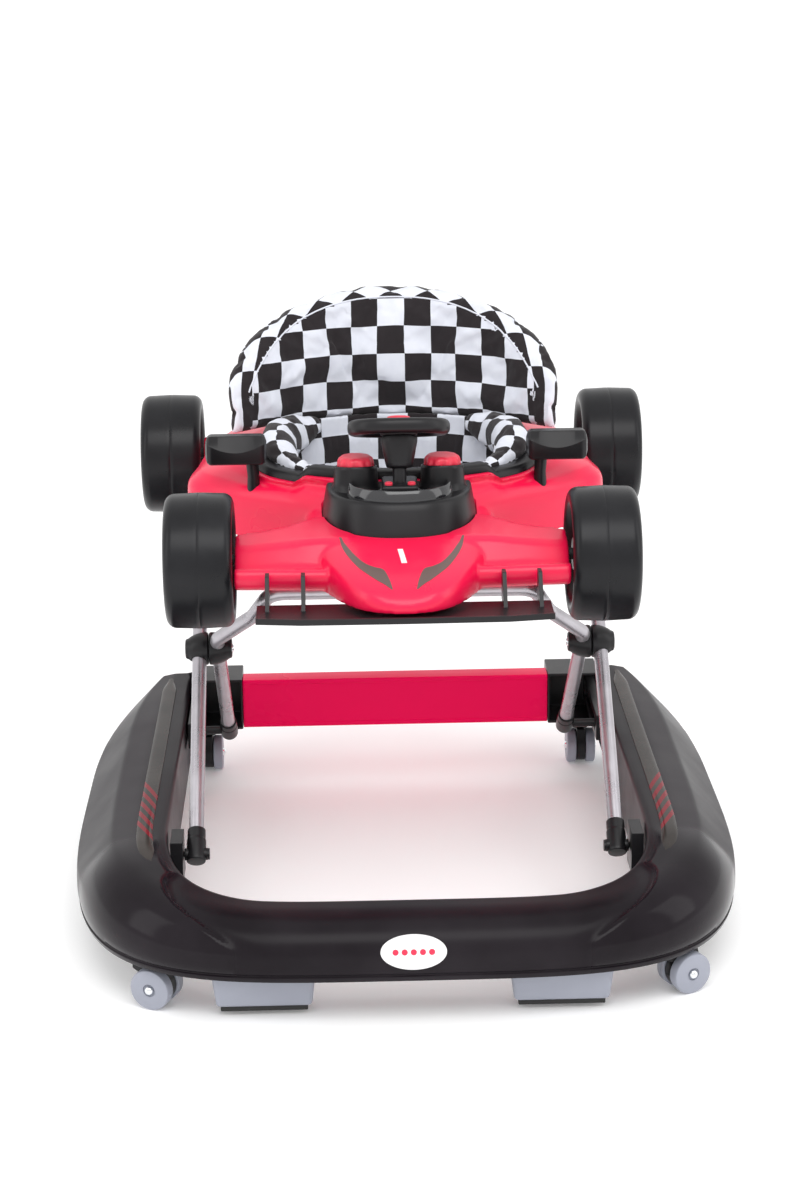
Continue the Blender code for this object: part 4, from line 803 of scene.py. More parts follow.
# %% Inner leg tube
lower = Vector((INNER_X, CROSS.y, CROSS.z)) - INNER_DIR * (LEG_HALF - 0.009)
bends = ((INNER_X, 0.024), (0.152, 0.082), (0.132, LEG_UPPER))
corners = [Vector((x, CROSS.y, CROSS.z)) + INNER_DIR * d for x, d in bends]
mirrored = [Vector((-c.x, c.y, c.z)) for c in [*corners[::-1], lower]]
inner_run = rounded_path([lower, *corners, *mirrored], 0.022)
tube = new_object("inner_tube", pipe(inner_run, TUBE_R, 40), silver_tube)
mount(tube, "inner_legs", ["inner_leg_tube"])
for name, side in SIDES:
    foot = Vector((side * INNER_X, CROSS.y, CROSS.z)) - INNER_DIR * LEG_HALF
    cup = new_object(f"inner_foot_cup_{name}", turned(CUP, foot, INNER_DIR, 40), black_plastic)
    mount(cup, "inner_legs", [f"inner_leg_foot_{name}"])
    roller = soften([(0.006, 0.0001), (0.006, 0.0048), (0.0355, 0.0048), (0.0355, 0.0060), (0.0415, 0.0060),
                     (0.0415, 0.0001)], 0.0005)
    pin = new_object(f"inner_foot_roller_{name}", turned(roller, foot, (side, 0, 0), 32), black_plastic)
    mount(pin, "inner_legs")

# %% Crossing balls
SPLIT = (OUTER_X + INNER_X) / 2
ball = [(0.0004, 0.0001), (0.0004, 0.0160), (0.0012, 0.0170)]
ball += [(0.0245 * sin(radians(a)) / sin(radians(72)), 0.0175 * cos(radians(a)) ** 0.8) for a in range(8, 57, 6)]
ball += [(0.0232, 0.0104), (0.0240, 0.0098), (0.0245, 0.0088), (0.0245, 0.0062), (0.0237, 0.0058), (0.0237, 0.0001)]
for name, side in SIDES:
    centre = Vector((side * SPLIT, CROSS.y, CROSS.z))
    for label, way, body in (("outer", 1, "outer_legs"), ("inner", -1, "inner_legs")):
        half = new_object(f"crossing_ball_{label}_{name}", turned(ball, centre, (side * way, 0, 0), 72), black_plastic)
        mount(half, body, [f"hinge_ball_{label}_{name}"])
    rivet = soften([(0.0236, 0.0001), (0.0236, 0.0050), (0.0250, 0.0046), (0.0262, 0.0030), (0.0266, 0.0001)], 0.0004)
    head = new_object(f"crossing_rivet_{name}", turned(rivet, centre, (-side, 0, 0), 32), chrome)
    mount(head, "outer_legs")
print("legs done")

# %% [markdown]
# ## Crossbar
# The bar that ties the two arms together is a flat red box section with small radii and a raised lip along its
# lower edge. The brackets, slide tracks, clips and rails keep the frame's own solids, with their edges rounded.

# %% Crossbar
BAR_FRONT, BAR_BACK, BAR_LOW, BAR_HIGH = 0.2505, 0.2775, 0.0735, 0.1315


def bar_section(grow):
    """The bar's outline in Y and Z with rounded corners; grow pulls its ends in a little."""
    low, high, near, far = BAR_LOW - grow, BAR_HIGH + grow, BAR_FRONT - grow, BAR_BACK + grow
    outline = [(near, low), (near, low + 0.0050), (near + 0.0007, low + 0.0056), (near + 0.0007, high - 0.0056),
               (near, high - 0.0050), (near, high), (far, high), (far, low)]
    rounded = []
    for i, (y, z) in enumerate(outline):
        before, corner, after = Vector(outline[i - 1]), Vector((y, z)), Vector(outline[(i + 1) % len(outline)])
        size = 0.0018 if i in (0, 5, 6, 7) else 0.0003
        start = corner + (before - corner).normalized() * size
        end = corner + (after - corner).normalized() * size
        rounded += [start * (1 - t) ** 2 + corner * (2 * t * (1 - t)) + end * t**2 for t in (0, 0.25, 0.5, 0.75, 1)]
    return rounded


spans = [(-0.1780, -0.0006), (-0.1774, 0.0)] + [(-0.1774 + 0.3548 * k / 24, 0.0) for k in range(1, 24)]
spans += [(0.1774, 0.0), (0.1780, -0.0006)]
crossbar = new_object("crossbar_skin", loft([[Vector((x, p.x, p.y)) for p in bar_section(g)] for x, g in spans]),
                      bar_red, sharp=30)
mount(crossbar, "base", ["rear_crossbar"])

# %% Rounded frame solids
ROUNDED = {"base_lower_pan": (dark_plastic, 0.0008)}
for name, _ in SIDES:
    ROUNDED[f"slide_track_{name}"] = (black_plastic, 0.0012)
    ROUNDED[f"leg_bracket_{name}"] = (black_plastic, 0.0012)
    ROUNDED[f"tray_pivot_clip_{name}"] = (black_plastic, 0.0010)
    ROUNDED[f"tray_slide_rail_{name}"] = (black_plastic, 0.0008)
ROUNDED["front_wing"] = (black_plastic, 0.0006)
for name, (finish, radius) in ROUNDED.items():
    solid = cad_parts[name]
    solid.data.materials.clear()
    solid.data.materials.append(finish)
    weld = solid.modifiers.new("Weld", "WELD")
    weld.merge_threshold = 0.00002
    bevel = solid.modifiers.new("Bevel", "BEVEL")
    bevel.width = radius
    bevel.segments = 3
    bevel.limit_method = "ANGLE"
    bevel.angle_limit = radians(40)
    bevel.harden_normals = False
print("rounded solids:", len(ROUNDED))

# %% [markdown]
# ## The car body
# The body is a ring of bodywork round the seat opening, a long nose that drops to a rounded tip, and a faired
# suspension arm on each side. Skins meet at shallow angles here, so each part is lofted, the parts are remeshed
# into one skin with a voxel grid, and a few smoothing passes give the moulded fillets where they meet.

# %% Body sections
OPENING_Y, OPENING_A, OPENING_B, RIM, BODY_LOW = 0.115, 0.148, 0.118, 0.437, 0.360
BODY_OUTLINE = ((0.0, -0.060), (0.055, -0.045), (0.110, 0.005), (0.1765, 0.0535), (0.2226, 0.0985),
                (0.218, 0.160), (0.203, 0.235), (0.170, 0.300), (0.105, 0.345), (0.0, 0.360))


def rim_dip(x, y):
    """The rim sinks beside the nose and steps up again where the nose meets it."""
    if y > OPENING_Y:
        return 0.0
    return 0.009 * smooth_step((OPENING_Y - y) / 0.07) * smooth_step((abs(x) - 0.088) / 0.008)


def opening_point(angle, grow=0.0):
    return Vector(((OPENING_A + grow) * cos(angle), OPENING_Y + (OPENING_B + grow) * sin(angle), 0))


def body_rays(steps):
    """Lines from the seat opening out to the body's edge, as (inner point, direction, length, outer point)."""
    mirrored = [(-BODY_OUTLINE[1][0], BODY_OUTLINE[1][1]), *BODY_OUTLINE, (-BODY_OUTLINE[-2][0], BODY_OUTLINE[-2][1])]
    half = curve_through(mirrored, steps)[steps:-steps]
    whole = [Vector((*p, 0)) for p in half] + [Vector((-p[0], p[1], 0)) for p in half[1:-1]][::-1]
    rays = []
    for outer in whole:
        away = Vector((outer.x, outer.y - OPENING_Y, 0))
        inner = opening_point(atan2(away.y / OPENING_B, away.x / OPENING_A))
        line = outer - inner
        rays.append((inner, line.normalized(), line.length, outer))
    return rays


def pod_ring():
    """The bodywork round the seat opening, out to the wheel pods."""
    rings = []
    for inner, line, width, outer in body_rays(12):
        rear = smooth_step((outer.y - 0.12) / 0.2)
        shoulder, edge = 0.424 + 0.012 * rear, 0.408 + 0.016 * rear
        dip = rim_dip(inner.x, inner.y)
        section = [(0, 0.400), (0, RIM - 0.003 - dip), (0.002, RIM - dip), (0.018, RIM - dip),
                   (0.45 * width, shoulder + 0.004 - dip * 0.8), (0.80 * width, shoulder - 0.003 - dip * 0.4),
                   (0.95 * width, edge + 0.003), (0.985 * width, edge - 0.003), (width - 0.0005, edge - 0.013),
                   (width - 0.002, 0.385), (width - 0.004, BODY_LOW)]
        rings.append([inner + line * d + Vector((0, 0, z)) for d, z in section])
    return loft(rings, closed=True)


NOSE_ROWS = ((-0.006, 0.0985, 0.4160), (-0.040, 0.0960, 0.4110), (-0.080, 0.0925, 0.4080), (-0.1215, 0.0875, 0.4045),
             (-0.1575, 0.0750, 0.3975), (-0.190, 0.0600, 0.3890), (-0.213, 0.0435, 0.3805), (-0.2245, 0.0270, 0.3720),
             (-0.2290, 0.0110, 0.3660))


def nose():
    rings = []
    for y, half, top in curve_through(NOSE_ROWS, 8):
        low = BODY_LOW - 0.0015
        rings.append([])
        for k in range(57):
            a = pi * k / 56
            x = half * (1 if a < pi / 2 else -1) * abs(cos(a)) ** 0.40
            crown = low + (top - low) * sin(a) ** 0.38
            rings[-1].append(Vector((x, y, crown)))
    return loft(rings)


def fairing(side):
    """Suspension arm: a round front bar, a valley and a sloping upper plane."""
    rows = ((0.050, -0.050, 1.0), (0.0875, -0.056, 0.95), (0.120, -0.078, 0.50), (0.1660, -0.088, 0.0))
    rings = []
    for x, rear, grow in curve_through(rows, 6):
        lead = -0.1585 - 0.006 * grow
        bar = [(lead + 0.0075 - 0.0075 * cos(radians(a)), 0.3735 + 0.0105 * sin(radians(a)))
               for a in range(-60, 121, 20)]
        section = [(rear, 0.3605), (lead + 0.012, 0.3605), *bar, (lead + 0.0165, 0.3795 + 0.001 * grow),
                   (lead + 0.0225, 0.3805 + 0.003 * grow), (lead + 0.036, 0.3935 + 0.009 * grow),
                   (lead + 0.043, 0.3970 + 0.009 * grow), (rear, 0.402 + 0.008 * grow)]
        rings.append([Vector((side * x, y, z)) for y, z in section])
    return loft(rings)


# %% Body skin
FRONT_WHEEL, REAR_WHEEL = (0.201, -0.108, 0.381), (0.252, 0.3193, 0.388)
body = new_object("car_body_skin", pod_ring(), body_pink)
parts = [nose()]
for _, side in SIDES:
    parts.append(fairing(side))
    x, y, z = side * REAR_WHEEL[0], REAR_WHEEL[1], REAR_WHEEL[2]
    hub_end = x - side * 0.0355
    parts.append(pipe([(side * 0.150, y, z), (hub_end, y, z)], 0.0185, 32))
combine(body, parts, "UNION")
remesh = body.modifiers.new("Remesh", "REMESH")
remesh.mode = "VOXEL"
COARSE_SKIN, FINE_SKIN = 0.0045, 0.0022
remesh.voxel_size = FINE_SKIN
ease = body.modifiers.new("Smooth", "SMOOTH")
ease.factor = 0.5
ease.iterations = 4
bake(body)
print("body faces:", len(body.data.polygons))


# %% Body pockets
CONSOLE_GAP = 0.0008
CONSOLE_REAR, CONSOLE_HALF, CONSOLE_LENGTH = -0.020, 0.079, 0.1015


def console_outline(scale_x, scale_y, z, grow=0.0, steps=48):
    """D shape: straight at the rear, round in front."""
    ring = []
    for k in range(steps + 1):
        a = pi * k / steps
        ring.append(Vector(((CONSOLE_HALF * scale_x + grow) * keep_sign(cos(a), 0.8),
                            CONSOLE_REAR + grow - (CONSOLE_LENGTH * scale_y + 2 * grow) * sin(a) ** 0.8, z)))
    return ring


def hollow_ring():
    """The space under the bodywork, open below, leaving a thin wall."""
    rings = []
    for inner, line, width, _ in body_rays(4):
        rings.append([inner + line * d + Vector((0, 0, z)) for d, z in
                      ((0.0035, 0.33), (0.0035, 0.415), (0.5 * width, 0.412), (0.85 * width, 0.402),
                       (width - 0.008, 0.392), (width - 0.009, 0.33))])
    return loft(rings, closed=True)


combine(body, [hollow_ring(), loft([console_outline(1, 1, z, CONSOLE_GAP) for z in (0.3885, 0.46)])], "DIFFERENCE")
body.data.shade_smooth()
body.data.set_sharp_from_angle(angle=radians(45))
mount(body, "tray", ["body_shell"])
stub_profile = [(-0.022, 0.0001), (-0.022, 0.006), (0.034, 0.006), (0.0345, 0.0001)]
for name, side in SIDES:
    for label, (x, y, z) in (("front", FRONT_WHEEL), ("rear", REAR_WHEEL)):
        stub_end = (side * (x - 0.034), y, z)
        stub = new_object(f"stub_axle_{label}_{name}", turned(stub_profile, stub_end, (side, 0, 0), 32), dark_plastic)
        mount(stub, "tray")
print("body cut faces:", len(body.data.polygons))

# %% [markdown]
# ## Films on the nose
# Two dark swooshes like headlamps and one plain white bar are self-adhesive films. Each is drawn as a strip between
# two edges seen from above and dropped onto the skin, so that it follows the curve of the nose.

# %% Nose films
skin_tree = BVHTree.FromObject(body, bpy.context.evaluated_depsgraph_get())
SWOOSH = (((0.0600, -0.1215), (0.0620, -0.1215)), ((0.0545, -0.1370), (0.0585, -0.1410)),
          ((0.0470, -0.1560), (0.0525, -0.1600)), ((0.0380, -0.1720), (0.0440, -0.1790)),
          ((0.0290, -0.1800), (0.0350, -0.1920)), ((0.0200, -0.1850), (0.0265, -0.2020)),
          ((0.0150, -0.1990), (0.0195, -0.2085)), ((0.0115, -0.2150), (0.0125, -0.2155)))
BAR = (((-0.0050, -0.1470), (0.0002, -0.1470)), ((-0.0018, -0.1740), (0.0036, -0.1740)))


def film(name, edges, side, finish, steps):
    rows = curve_through([(*inner, *outer) for inner, outer in edges], steps)
    rings = []
    for x0, y0, x1, y1 in rows:
        over = []
        for k in range(7):
            x, y = x0 + (x1 - x0) * k / 6, y0 + (y1 - y0) * k / 6
            hit, normal, _, _ = skin_tree.ray_cast(Vector((side * x, y, 0.5)), Vector((0, 0, -1)))
            over.append((hit, normal))
        rings.append([hit + normal * 0.0004 for hit, normal in over] + [over[-1][0] - over[-1][1] * 0.0004,
                                                                         over[0][0] - over[0][1] * 0.0004])
    made = new_object(name, loft(rings), finish, sharp=60)
    mount(made, "tray")


for name, side in SIDES:
    film(f"headlamp_film_{name}", SWOOSH, side, decal_brown, 8)
film("number_bar_film", BAR, 1, decal_white, 6)
print("films laid")

# %% [markdown]
# ## Wheels of the car
# The four fat racing wheels are hollow blow-moulded drums with round shoulders, a faint parting line round the
# middle of the tread and a dished face on both sides. They spin, so each one is turned about its own axle.

# %% Car wheels
WHEEL_RADIUS, WHEEL_HALF = 0.068, 0.034
tread = [(-0.004, WHEEL_RADIUS - 0.0002), (-0.0006, WHEEL_RADIUS - 0.0001), (0.0, WHEEL_RADIUS - 0.0004),
         (0.0006, WHEEL_RADIUS - 0.0001), (0.004, WHEEL_RADIUS - 0.0002)]
outer_side = [(0.018, WHEEL_RADIUS - 0.0008)]
outer_side += [(WHEEL_HALF - 0.010 + 0.010 * sin(radians(a)), WHEEL_RADIUS - 0.0110 + 0.0100 * cos(radians(a)))
               for a in range(0, 91, 9)]
face_out = [(WHEEL_HALF - 0.0006, 0.0530), (WHEEL_HALF - 0.0030, 0.0500), (WHEEL_HALF - 0.0095, 0.0475),
            (WHEEL_HALF - 0.0100, 0.0440), (WHEEL_HALF - 0.0100, 0.0200), (WHEEL_HALF - 0.0085, 0.0175),
            (WHEEL_HALF - 0.0045, 0.0160), (WHEEL_HALF - 0.0040, 0.0130), (WHEEL_HALF - 0.0040, 0.0001)]
profile = [(-d, r) for d, r in (outer_side + face_out)[::-1]] + tread + outer_side + face_out
for label, place in (("front", FRONT_WHEEL), ("rear", REAR_WHEEL)):
    for name, side in SIDES:
        centre = (side * place[0], place[1], place[2])
        wheel = new_object(f"racing_wheel_{label}_{name}", turned(profile, centre, (side, 0, 0), 128), tyre_plastic, 38)
        mount(wheel, f"wheel_{label}_{name}", [f"car_wheel_{label}_{name}"])
print("racing wheels done")

# %% [markdown]
# ## Dashboard
# The dashboard is a black moulding let into the nose: a sloping front wall with a chamfered edge, a curved glossy
# wind deflector, two round pods with scalloped red knobs, and a small pedestal for the steering column with two
# red press buttons beside it.

# %% Dashboard shell
rows = [(0.975, 0.975, 0.389), (1.0, 1.0, 0.392), (1.0, 1.0, 0.4055), (0.996, 0.99, 0.4085), (0.975, 0.955, 0.418),
        (0.952, 0.915, 0.4285), (0.942, 0.895, 0.4330), (0.930, 0.878, 0.4352), (0.915, 0.862, 0.4363),
        (0.90, 0.85, 0.4365)]
dash = new_object("dashboard_shell", loft([console_outline(*row) for row in rows]), black_plastic, sharp=50)
mount(dash, "tray", ["dash_console"])
POD_X, POD_Y, POD_TOP = 0.044, -0.0418, 0.455
for name, side in SIDES:
    rings = []
    for radius, z, raised in ((0.0005, 0.4300, 0), (0.0262, 0.4355, 0), (0.0240, 0.4385, 0), (0.0226, 0.4440, 0),
                              (0.0220, 0.4535, 0.8), (0.0216, 0.4552, 1), (0.0208, 0.4558, 1), (0.0201, 0.4553, 1),
                              (0.0198, 0.4545, 0.7), (0.0197, 0.4545, 0), (0.0005, 0.4545, 0)):
        rings.append([Vector((side * POD_X + radius * cos(2 * pi * k / 72), POD_Y + radius * sin(2 * pi * k / 72),
                              z + raised * 0.0034 * (1 - sin(2 * pi * k / 72)))) for k in range(72)])
    cup = new_object(f"dashboard_pod_{name}", loft(rings), black_plastic, sharp=50)
    mount(cup, "tray")
pedestal = new_object("column_pedestal", soft_box((-0.018, -0.090, 0.430), (0.018, -0.045, 0.449), 0.003),
                      black_plastic)
mount(pedestal, "tray")

# %% Wind deflector
VISOR_Y, VISOR_LOW = -0.068, 0.4285
rings = []
for k in range(49):
    a = pi * (0.02 + 0.96 * k / 48)
    out_way = Vector((cos(a), -sin(a), 0))
    ends = smooth_step(min(k, 48 - k) / 6)
    high = VISOR_LOW + 0.0190 + 0.0015 * (1 - ends)
    foot = Vector((0.0540 * cos(a), VISOR_Y - 0.0385 * sin(a), VISOR_LOW))
    top = Vector((0.0512 * cos(a), VISOR_Y - 0.0366 * sin(a), high))
    rings.append([foot, foot * 0.5 + top * 0.5 + out_way * 0.0004, top - Vector((0, 0, 0.0005)), top - out_way * 0.0008,
                  top - out_way * 0.0020, foot - out_way * 0.0024])
visor = new_object("wind_deflector", loft(rings), smoke_gloss, sharp=50)
mount(visor, "tray", ["visor"])

# %% Knobs and press buttons
KNOB_R, BUTTON_X, BUTTON_Y = 0.0190, 0.0115, -0.0825
for name, side in SIDES:
    rings = []
    rows = ((0.0003, 0.97, 1.0), (0.0010, 1.0, 1.0), (0.0080, 0.985, 1.0), (0.0105, 0.955, 0.9), (0.0125, 0.90, 0.7),
            (0.0138, 0.80, 0.4), (0.0144, 0.62, 0.15), (0.0145, 0.30, 0.0), (0.0145, 0.01, 0.0))
    for z, scale, scallop in rows:
        ring = []
        for k in range(144):
            a = 2 * pi * k / 144
            radius = KNOB_R * scale * (1 - 0.085 * scallop * (0.5 - 0.5 * cos(10 * a)) ** 1.4)
            ring.append(Vector((side * POD_X + radius * cos(a), POD_Y + radius * sin(a), POD_TOP + z)))
        rings.append(ring)
    knob = new_object(f"scalloped_knob_{name}", loft(rings), knob_red, sharp=60)
    mount(knob, f"knob_{name}", [f"knob_{name}"])
    press = soften([(-0.003, 0.0001), (-0.003, 0.0040), (0.0020, 0.0040), (0.0028, 0.0030), (0.0028, 0.0001)], 0.0006)
    button = new_object(f"press_button_{name}", turned(press, (side * BUTTON_X, BUTTON_Y, 0.449), (0, 0, 1), 40),
                        knob_red)
    mount(button, f"button_{name}", [f"small_button_{name}"])
print("dashboard done")

# %% Steering column and wheel
TILT = radians(17)
AXIS = Vector((0, sin(TILT), cos(TILT)))
COLUMN = Vector((0, -0.0715, 0.433))
column = soften([(-0.0155, 0.0001), (-0.0155, 0.0070), (0.0290, 0.0070), (0.0300, 0.0128), (0.0330, 0.0140),
                 (0.0560, 0.0186), (0.0610, 0.0188), (0.0615, 0.0001)], 0.0012, 3)
stem = new_object("steering_stem", turned(column, COLUMN, AXIS, 72), black_plastic)
mount(stem, "tray", ["steering_column"])
centre = COLUMN + AXIS * 0.070
side_way, up_way = Vector((1, 0, 0)), Vector((0, cos(TILT), -sin(TILT)))
GRIP_HALF, GRIP_HIGH, GRIP_R = 0.0440, 0.0340, 0.0078
rings = []
for k in range(96):
    a = 2 * pi * k / 96
    middle = centre + side_way * (GRIP_HALF * keep_sign(cos(a), 0.75)) + up_way * (GRIP_HIGH * keep_sign(sin(a), 0.75))
    out_way = (side_way * (cos(a) / GRIP_HALF) + up_way * (sin(a) / GRIP_HIGH)).normalized()
    rings.append([middle + out_way * (GRIP_R * keep_sign(cos(b), 0.8)) + AXIS * (GRIP_R * keep_sign(sin(b), 0.7))
                  for b in [2 * pi * j / 24 for j in range(24)]])
rim = new_object("steering_rim", loft(rings, closed=True), black_plastic, sharp=60)
mount(rim, "steering", ["steering_wheel"])
hub = soften([(-0.0078, 0.0001), (-0.0078, 0.0186), (0.0040, 0.0186), (0.0058, 0.0165), (0.0058, 0.0130),
              (-0.0012, 0.0127), (-0.0012, 0.0001)], 0.0008, 3)
mount(new_object("steering_hub", turned(hub, centre, AXIS, 72), black_plastic), "steering")
spoke_rows, SPOKE_REACH = [], 0.040
for k in range(33):
    x = SPOKE_REACH * (k / 16 - 1)
    wide = 0.0075 + 0.004 * (abs(x) / SPOKE_REACH) ** 2
    sunk = AXIS * 0.0050 * smooth_step((0.0205 - abs(x)) / 0.006)  # the spokes pass under the horn's well
    spoke_rows.append([centre + side_way * x + up_way * u + AXIS * w - sunk for u, w in
                       ((-wide, -0.003), (-wide, 0.002), (-wide + 0.0015, 0.0035), (wide - 0.0015, 0.0035),
                        (wide, 0.002), (wide, -0.003), (wide - 0.0015, -0.0045), (-wide + 0.0015, -0.0045))])
mount(new_object("steering_spokes", loft(spoke_rows), black_plastic), "steering")
horn = soften([(0.0040, 0.0001), (0.0040, 0.0123), (0.0098, 0.0122), (0.0114, 0.0108), (0.0120, 0.0080),
               (0.0120, 0.0001)], 0.0008, 3)
mount(new_object("horn_cap", turned(horn, centre, AXIS, 56), knob_red), "horn", ["horn_button"])
print("steering done")

# %% [markdown]
# ## Mirrors and seat rim
# Each mirror is a closed black shell on a short stalk. Its front face breaks along a curved line, low in the
# middle, above which it leans back to the top. The rim round the seat opening is a thin black lip that steps down
# on each side of the nose.

# %% Mirrors
MIRROR_START, MIRROR_WIDTH, MIRROR_Y, MIRROR_Z = 0.1365, 0.064, 0.0465, 0.457

for name, side in SIDES:
    rings = []
    for k in range(33):
        t = k / 32
        x = MIRROR_START + MIRROR_WIDTH * t
        end = min(min(t, 1 - t) / 0.10, 1.0)
        swell = sqrt(1 - (1 - end) ** 2)
        low, high = MIRROR_Z - 0.0145 * (0.55 + 0.45 * swell), MIRROR_Z + 0.0148 * (0.55 + 0.45 * swell)
        front, back = MIRROR_Y - 0.0128 * (0.5 + 0.5 * swell), MIRROR_Y + 0.0125 * (0.5 + 0.5 * swell)
        bend = high - 0.0035 - 0.0115 * sin(pi * t) ** 0.8 * swell
        outline = [(front + 0.0030, low), (front + 0.0008, low + 0.0016), (front, low + 0.004), (front, bend - 0.001),
                   (front + 0.0006, bend), (front + 0.0090, high - 0.0006), (front + 0.0102, high),
                   (back - 0.0035, high), (back - 0.0010, high - 0.0012), (back, high - 0.004), (back, low + 0.004),
                   (back - 0.0010, low + 0.0012), (back - 0.0035, low)]
        rings.append([Vector((side * x, y, z)) for y, z in outline])
    shell = new_object(f"mirror_shell_{name}", loft(rings), black_plastic, sharp=24)
    mount(shell, "tray", [f"mirror_{name}"])
    run = [(side * 0.151, MIRROR_Y, 0.4050), (side * 0.151, MIRROR_Y, 0.4280), (side * 0.152, 0.0468, 0.4460)]
    stalk = new_object(f"mirror_stalk_{name}", pipe(run, [0.0075, 0.0062, 0.0068], 24), black_plastic)
    mount(stalk, "tray")

# %% Seat rim
rings = []
for k in range(160):
    a = 2 * pi * k / 160
    ring = []
    for d, z in ((-0.0060, 0.0), (-0.0060, 0.0050), (-0.0052, 0.0072), (-0.0030, 0.0086), (0.0010, 0.0090),
                 (0.0070, 0.0088), (0.0102, 0.0074), (0.0118, 0.0050), (0.0120, 0.0), (0.0060, -0.0030),
                 (-0.0030, -0.0030)):
        p = opening_point(a, d)
        ring.append(Vector((p.x, p.y, RIM + 0.0003 + z - rim_dip(opening_point(a).x, p.y))))
    rings.append(ring)
rim = new_object("seat_rim", loft(rings, closed=True), black_plastic, sharp=50)
mount(rim, "tray", ["seat_ring"])
print("mirrors and rim done")

# %% [markdown]
# ## Padded seat
# The seat is sewn from printed cotton over wadding: a tall arched cushion behind the child, a soft roll down each
# side, and a sling that hangs in the opening. Each is drawn a little thin, remeshed, and blown up with a short
# cloth simulation with its seams held, so that it crowns between the seams and puckers beside them. How far a
# point may move is capped. The print is laid out before the cloth swells, so the squares bend with it.

# %% Cloth tools
SQUARE = 0.0295  # one square of the print


def points_of(mesh, field="co"):
    flat = np.zeros(len(mesh.vertices) * 3, np.float32)
    mesh.vertices.foreach_get(field, flat)
    return flat.reshape(-1, 3).astype(float)


def remeshed(obj, size):
    modifier = obj.modifiers.new("Remesh", "REMESH")
    modifier.mode = "VOXEL"
    modifier.voxel_size = size
    bake(obj)
    obj.data.shade_smooth()
    return obj


def inflate(obj, held, pressure, cap, frames=20):
    """Blows the piece up as cloth. Points in held are sewn down, and no point moves further than cap."""
    start = points_of(obj.data)
    group = obj.vertex_groups.new(name="sewn")
    group.add([int(i) for i in held], 1.0, "REPLACE")
    modifier = obj.modifiers.new("Cloth", "CLOTH")
    settings = modifier.settings
    settings.quality = 5
    settings.mass = 0.25
    settings.tension_stiffness = 18
    settings.compression_stiffness = 18
    settings.shear_stiffness = 8
    settings.bending_stiffness = 0.2
    settings.use_pressure = True
    settings.uniform_pressure_force = pressure
    settings.vertex_group_mass = "sewn"
    settings.pin_stiffness = 2.0
    settings.effector_weights.gravity = 0
    settings.shrink_min = -0.06
    modifier.collision_settings.use_collision = False
    modifier.point_cache.frame_end = frames
    for step in range(1, frames + 1):
        bpy.context.scene.frame_set(step)
    graph = bpy.context.evaluated_depsgraph_get()
    moved = points_of(obj.evaluated_get(graph).to_mesh())
    obj.evaluated_get(graph).to_mesh_clear()
    obj.modifiers.remove(modifier)
    obj.vertex_groups.clear()
    bpy.context.scene.frame_set(1)
    step = moved - start
    far = np.linalg.norm(step, axis=1)
    step *= np.minimum(1.0, cap / np.maximum(far, 1e-9))[:, None]
    obj.data.vertices.foreach_set("co", (start + step).astype(np.float32).ravel())
    obj.data.update()
    print(obj.name, "points", len(start), "largest move mm", round(float(min(far.max(), cap)) * 1000, 1))
    return obj


def finer(obj):
    modifier = obj.modifiers.new("Subdivision", "SUBSURF")
    modifier.levels = modifier.render_levels = 1
    bake(obj)
    obj.data.shade_smooth()
    return obj


# %% Back cushion form
BACK_R, BACK_Y, BACK_LOW, BACK_SPAN, BACK_LEAN = 0.2125, 0.0115, 0.4475, radians(52), 0.14


def back_top(share):
    return BACK_LOW + 0.028 + 0.119 * sqrt(max(1 - abs(share) ** 2.4, 0))


def back_point(share, height, depth):
    """A point of the cushion: share runs along its arc, depth outwards from its face."""
    angle = BACK_SPAN * share
    return Vector(((BACK_R + depth) * sin(angle),
                   BACK_Y + (BACK_R + depth) * cos(angle) + BACK_LEAN * (height - BACK_LOW), height))


rings = []
for k in range(61):
    share = -0.985 + 1.97 * k / 60
    low, top = BACK_LOW + 0.001, back_top(share) - 0.002
    middle, half = (low + top) / 2, (top - low) / 2
    thick = 0.0100 * (1 - abs(share) ** 10) + 0.004
    ring = []
    for j in range(48):
        b = 2 * pi * j / 48
        z = middle + half * keep_sign(sin(b), 0.45)
        depth = 0.0135 - thick * keep_sign(cos(b), 0.62)
        ring.append(back_point(share, z, depth))
    rings.append(ring)
back = new_object("back_cushion", loft(rings), check_cotton)
remeshed(back, 0.005)

# %% Back cushion print and seams
outline_length = [0.0]
shares = np.linspace(-1, 1, 401)
for a, b in zip(shares, shares[1:]):
    outline_length.append(outline_length[-1] + hypot((b - a) * BACK_SPAN * BACK_R, back_top(b) - back_top(a)))


def back_layout(point):
    """(arc share, height, depth, distance inside the arched edge) of a point."""
    y = point[1] - BACK_Y - BACK_LEAN * (point[2] - BACK_LOW)
    angle = atan2(point[0], y)
    share = angle / BACK_SPAN
    slope = (back_top(min(share + 0.01, 1)) - back_top(max(share - 0.01, -1))) / (0.02 * BACK_SPAN * BACK_R)
    inside = (back_top(share) - point[2]) / sqrt(1 + slope**2)
    inside = min(inside, (1 - abs(share)) * BACK_SPAN * BACK_R)
    return share, point[2], hypot(point[0], y) - BACK_R, inside


def border_width(share):
    """The border band is narrow over the crown and wide down the sides."""
    return 0.014 + 0.012 * share**2


def panel_print(share, height):
    return share * BACK_SPAN * BACK_R / SQUARE + 0.5, (height - BACK_LOW) / SQUARE + 0.55


def border_print(share, depth, inside):
    """The border band is cut on the bias at the sides, so its squares stand on their corners there."""
    run = float(np.interp(share, shares, outline_length)) - outline_length[-1] / 2
    u, v = run / (SQUARE * 1.35), (0.95 * depth - 0.9 * inside) / SQUARE
    return u - v + 50, u + v + 50


def rear_print(share, height):
    return share * BACK_SPAN * BACK_R / SQUARE + 80.5, (height - BACK_LOW) / SQUARE + 80.55


